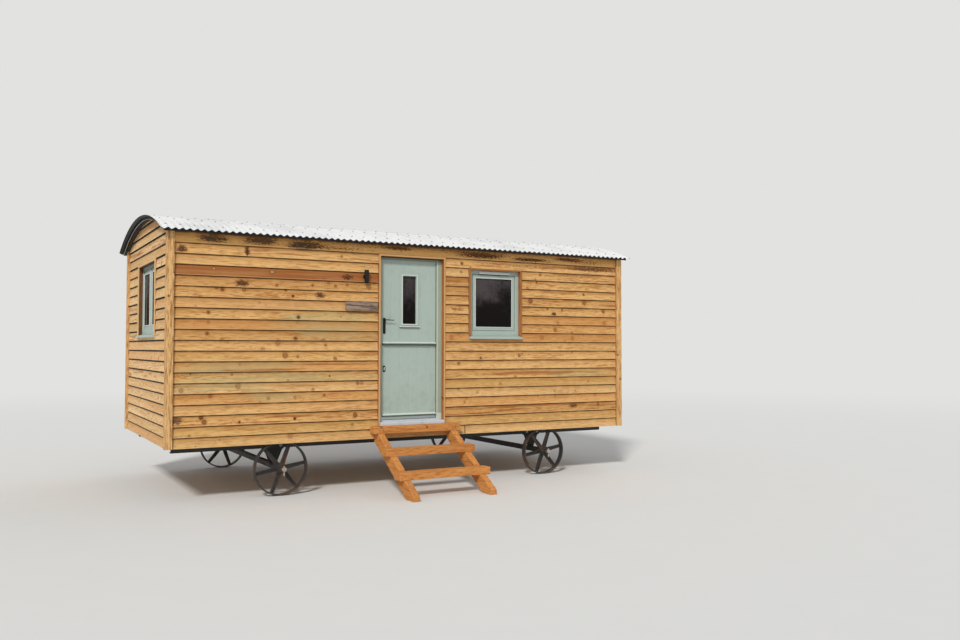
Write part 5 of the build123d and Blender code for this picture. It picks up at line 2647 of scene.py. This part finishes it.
    def inner_edge(self, axis: int) -> float:
        """Far inner edge of the door frame's front face.

        Args:
            axis: The axis that it is measured along.

        Returns:
            Its place.
        """
        low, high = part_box("door_frame")
        corners = [corner.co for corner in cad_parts["door_frame"].data.vertices]
        front = [at[axis] for at in corners if at.y < low.y + self.face_depth]
        return max(place for place in front if place < high[axis] - self.outer_margin)

    def bar(self, leaf: str) -> tuple[float, float]:
        """Lower and upper edge of the front face of a leaf's weather bar.

        Args:
            leaf: The leaf's node.

        Returns:
            The two heights.
        """
        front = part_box(leaf)[0].y + self.bar_depth
        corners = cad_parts[leaf].data.vertices
        heights = [corner.co.z for corner in corners if corner.co.y < front]
        return min(heights), max(heights)

    def leaf_bands(self) -> tuple[Band, ...]:
        """Painted shadows under the weather bars, painted highlights on their slopes, painted
        light below the lower bar, and painted shadow on the hinge side.

        Returns:
            The bands.
        """
        # Colours of the painted shadows and painted highlights.
        dark, lit = srgb(50, 56, 50), srgb(208, 218, 210)
        bands = []
        for leaf in ("upper_leaf", "lower_leaf"):
            foot, head = self.bar(leaf)
            # Painted shadow over each weather bar's face and the joint below it, and painted
            # highlight on its upper slope.
            bands.append(Band(2, foot - 0.004, head - 0.004, dark, 0.85))
            bands.append(Band(2, head, head + 0.015, lit, 0.8))
        foot = self.bar("lower_leaf")[0]
        # Painted light on the leaf below the lower bar, where that bar's shadow falls.
        bands.append(Band(2, foot - 0.3, foot - 0.006, srgb(226, 236, 228), 0.9))
        edge = self.inner_edge(0)
        # Painted shadow along the leaf's hinge-side edge, beside the frame.
        bands.append(Band(0, edge - 0.015, edge + 0.2, dark, 0.8))
        return tuple(bands)

    def frame_bands(self) -> tuple[Band, ...]:
        """Painted highlight on the hinge-side arris, painted light on the threshold, painted shade
        over the head, and painted shadow along its top under the liner.

        Returns:
            The bands.
        """
        edge, under = self.inner_edge(0), self.inner_edge(2)
        top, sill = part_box("door_frame")[1].z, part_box("door_sill")[1].z
        # Painted highlight, painted light on the threshold, painted shade on the head, painted
        # shadow under the liner.
        return (
            Band(0, edge - 0.004, edge + 0.004, srgb(212, 220, 212), 0.75),
            Band(2, 0.0, sill + 0.06, srgb(206, 216, 208), 0.8),
            Band(2, under - 0.002, top, srgb(78, 82, 66), 0.55),
            Band(2, top - 0.011, top + 0.01, srgb(22, 20, 16), 0.92),
        )

    def metal(self) -> dict[str, RoofMetal | Iron | BlackCoat | Bright | Pane]:
        """Roof metal, ironwork and glass.

        Returns:
            The finishes by name.
        """
        axle = centre("left_axle").y
        pane_low, pane_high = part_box("front_window_glass")
        return {
            "roof": RoofMetal("roof_metal"),
            "wheel": Iron(
                "wheel_iron", srgb(46, 43, 42), srgb(78, 52, 40), srgb(104, 78, 60),
                roughness=0.62,
            ),
            "axle": AxleIron(
                "axle_iron", srgb(30, 29, 29), rust_from=0.55, middle=axle,
                pin_reach=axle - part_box("wheel_front_left")[0].y,
            ),
            "rail": Iron("rail_iron", srgb(26, 26, 27), rust_from=0.58, roughness=0.5),
            "black": BlackCoat("black_coat"),
            "zinc": Bright("zinc_plate"),
            "nail": Bright("nail_steel", srgb(150, 142, 130), srgb(96, 76, 60), 0.55, 0.6),
            "screw": Bright("roof_screw", srgb(150, 154, 158), srgb(104, 104, 102), 0.5, 0.5),
            "glass": Pane("window_glass", pane_low.z, pane_high.z),
        }

    def dress(self) -> Finishes:
        """Makes every material, by name."""
        kinds = self.cladding() | self.timber() | self.paint() | self.metal()
        return {key: finish.dress() for key, finish in kinds.items()}


def main() -> None:
    """Builds and dresses the hut, then sets the stage."""
    logging.basicConfig(level=logging.INFO, format="%(name)s: %(message)s")
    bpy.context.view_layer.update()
    hut = Hut.measure()
    finishes = Palette(hut).dress()
    Cladding(hut, finishes).build()
    Roof(hut, finishes).build()
    for fitted in (Doorway, Windows, Fittings, Ironwork):
        fitted(finishes).build()
    for dressing in DRESSINGS:
        dressing.apply(finishes)
    Studio().build()


if __name__ == "__main__":
    main()
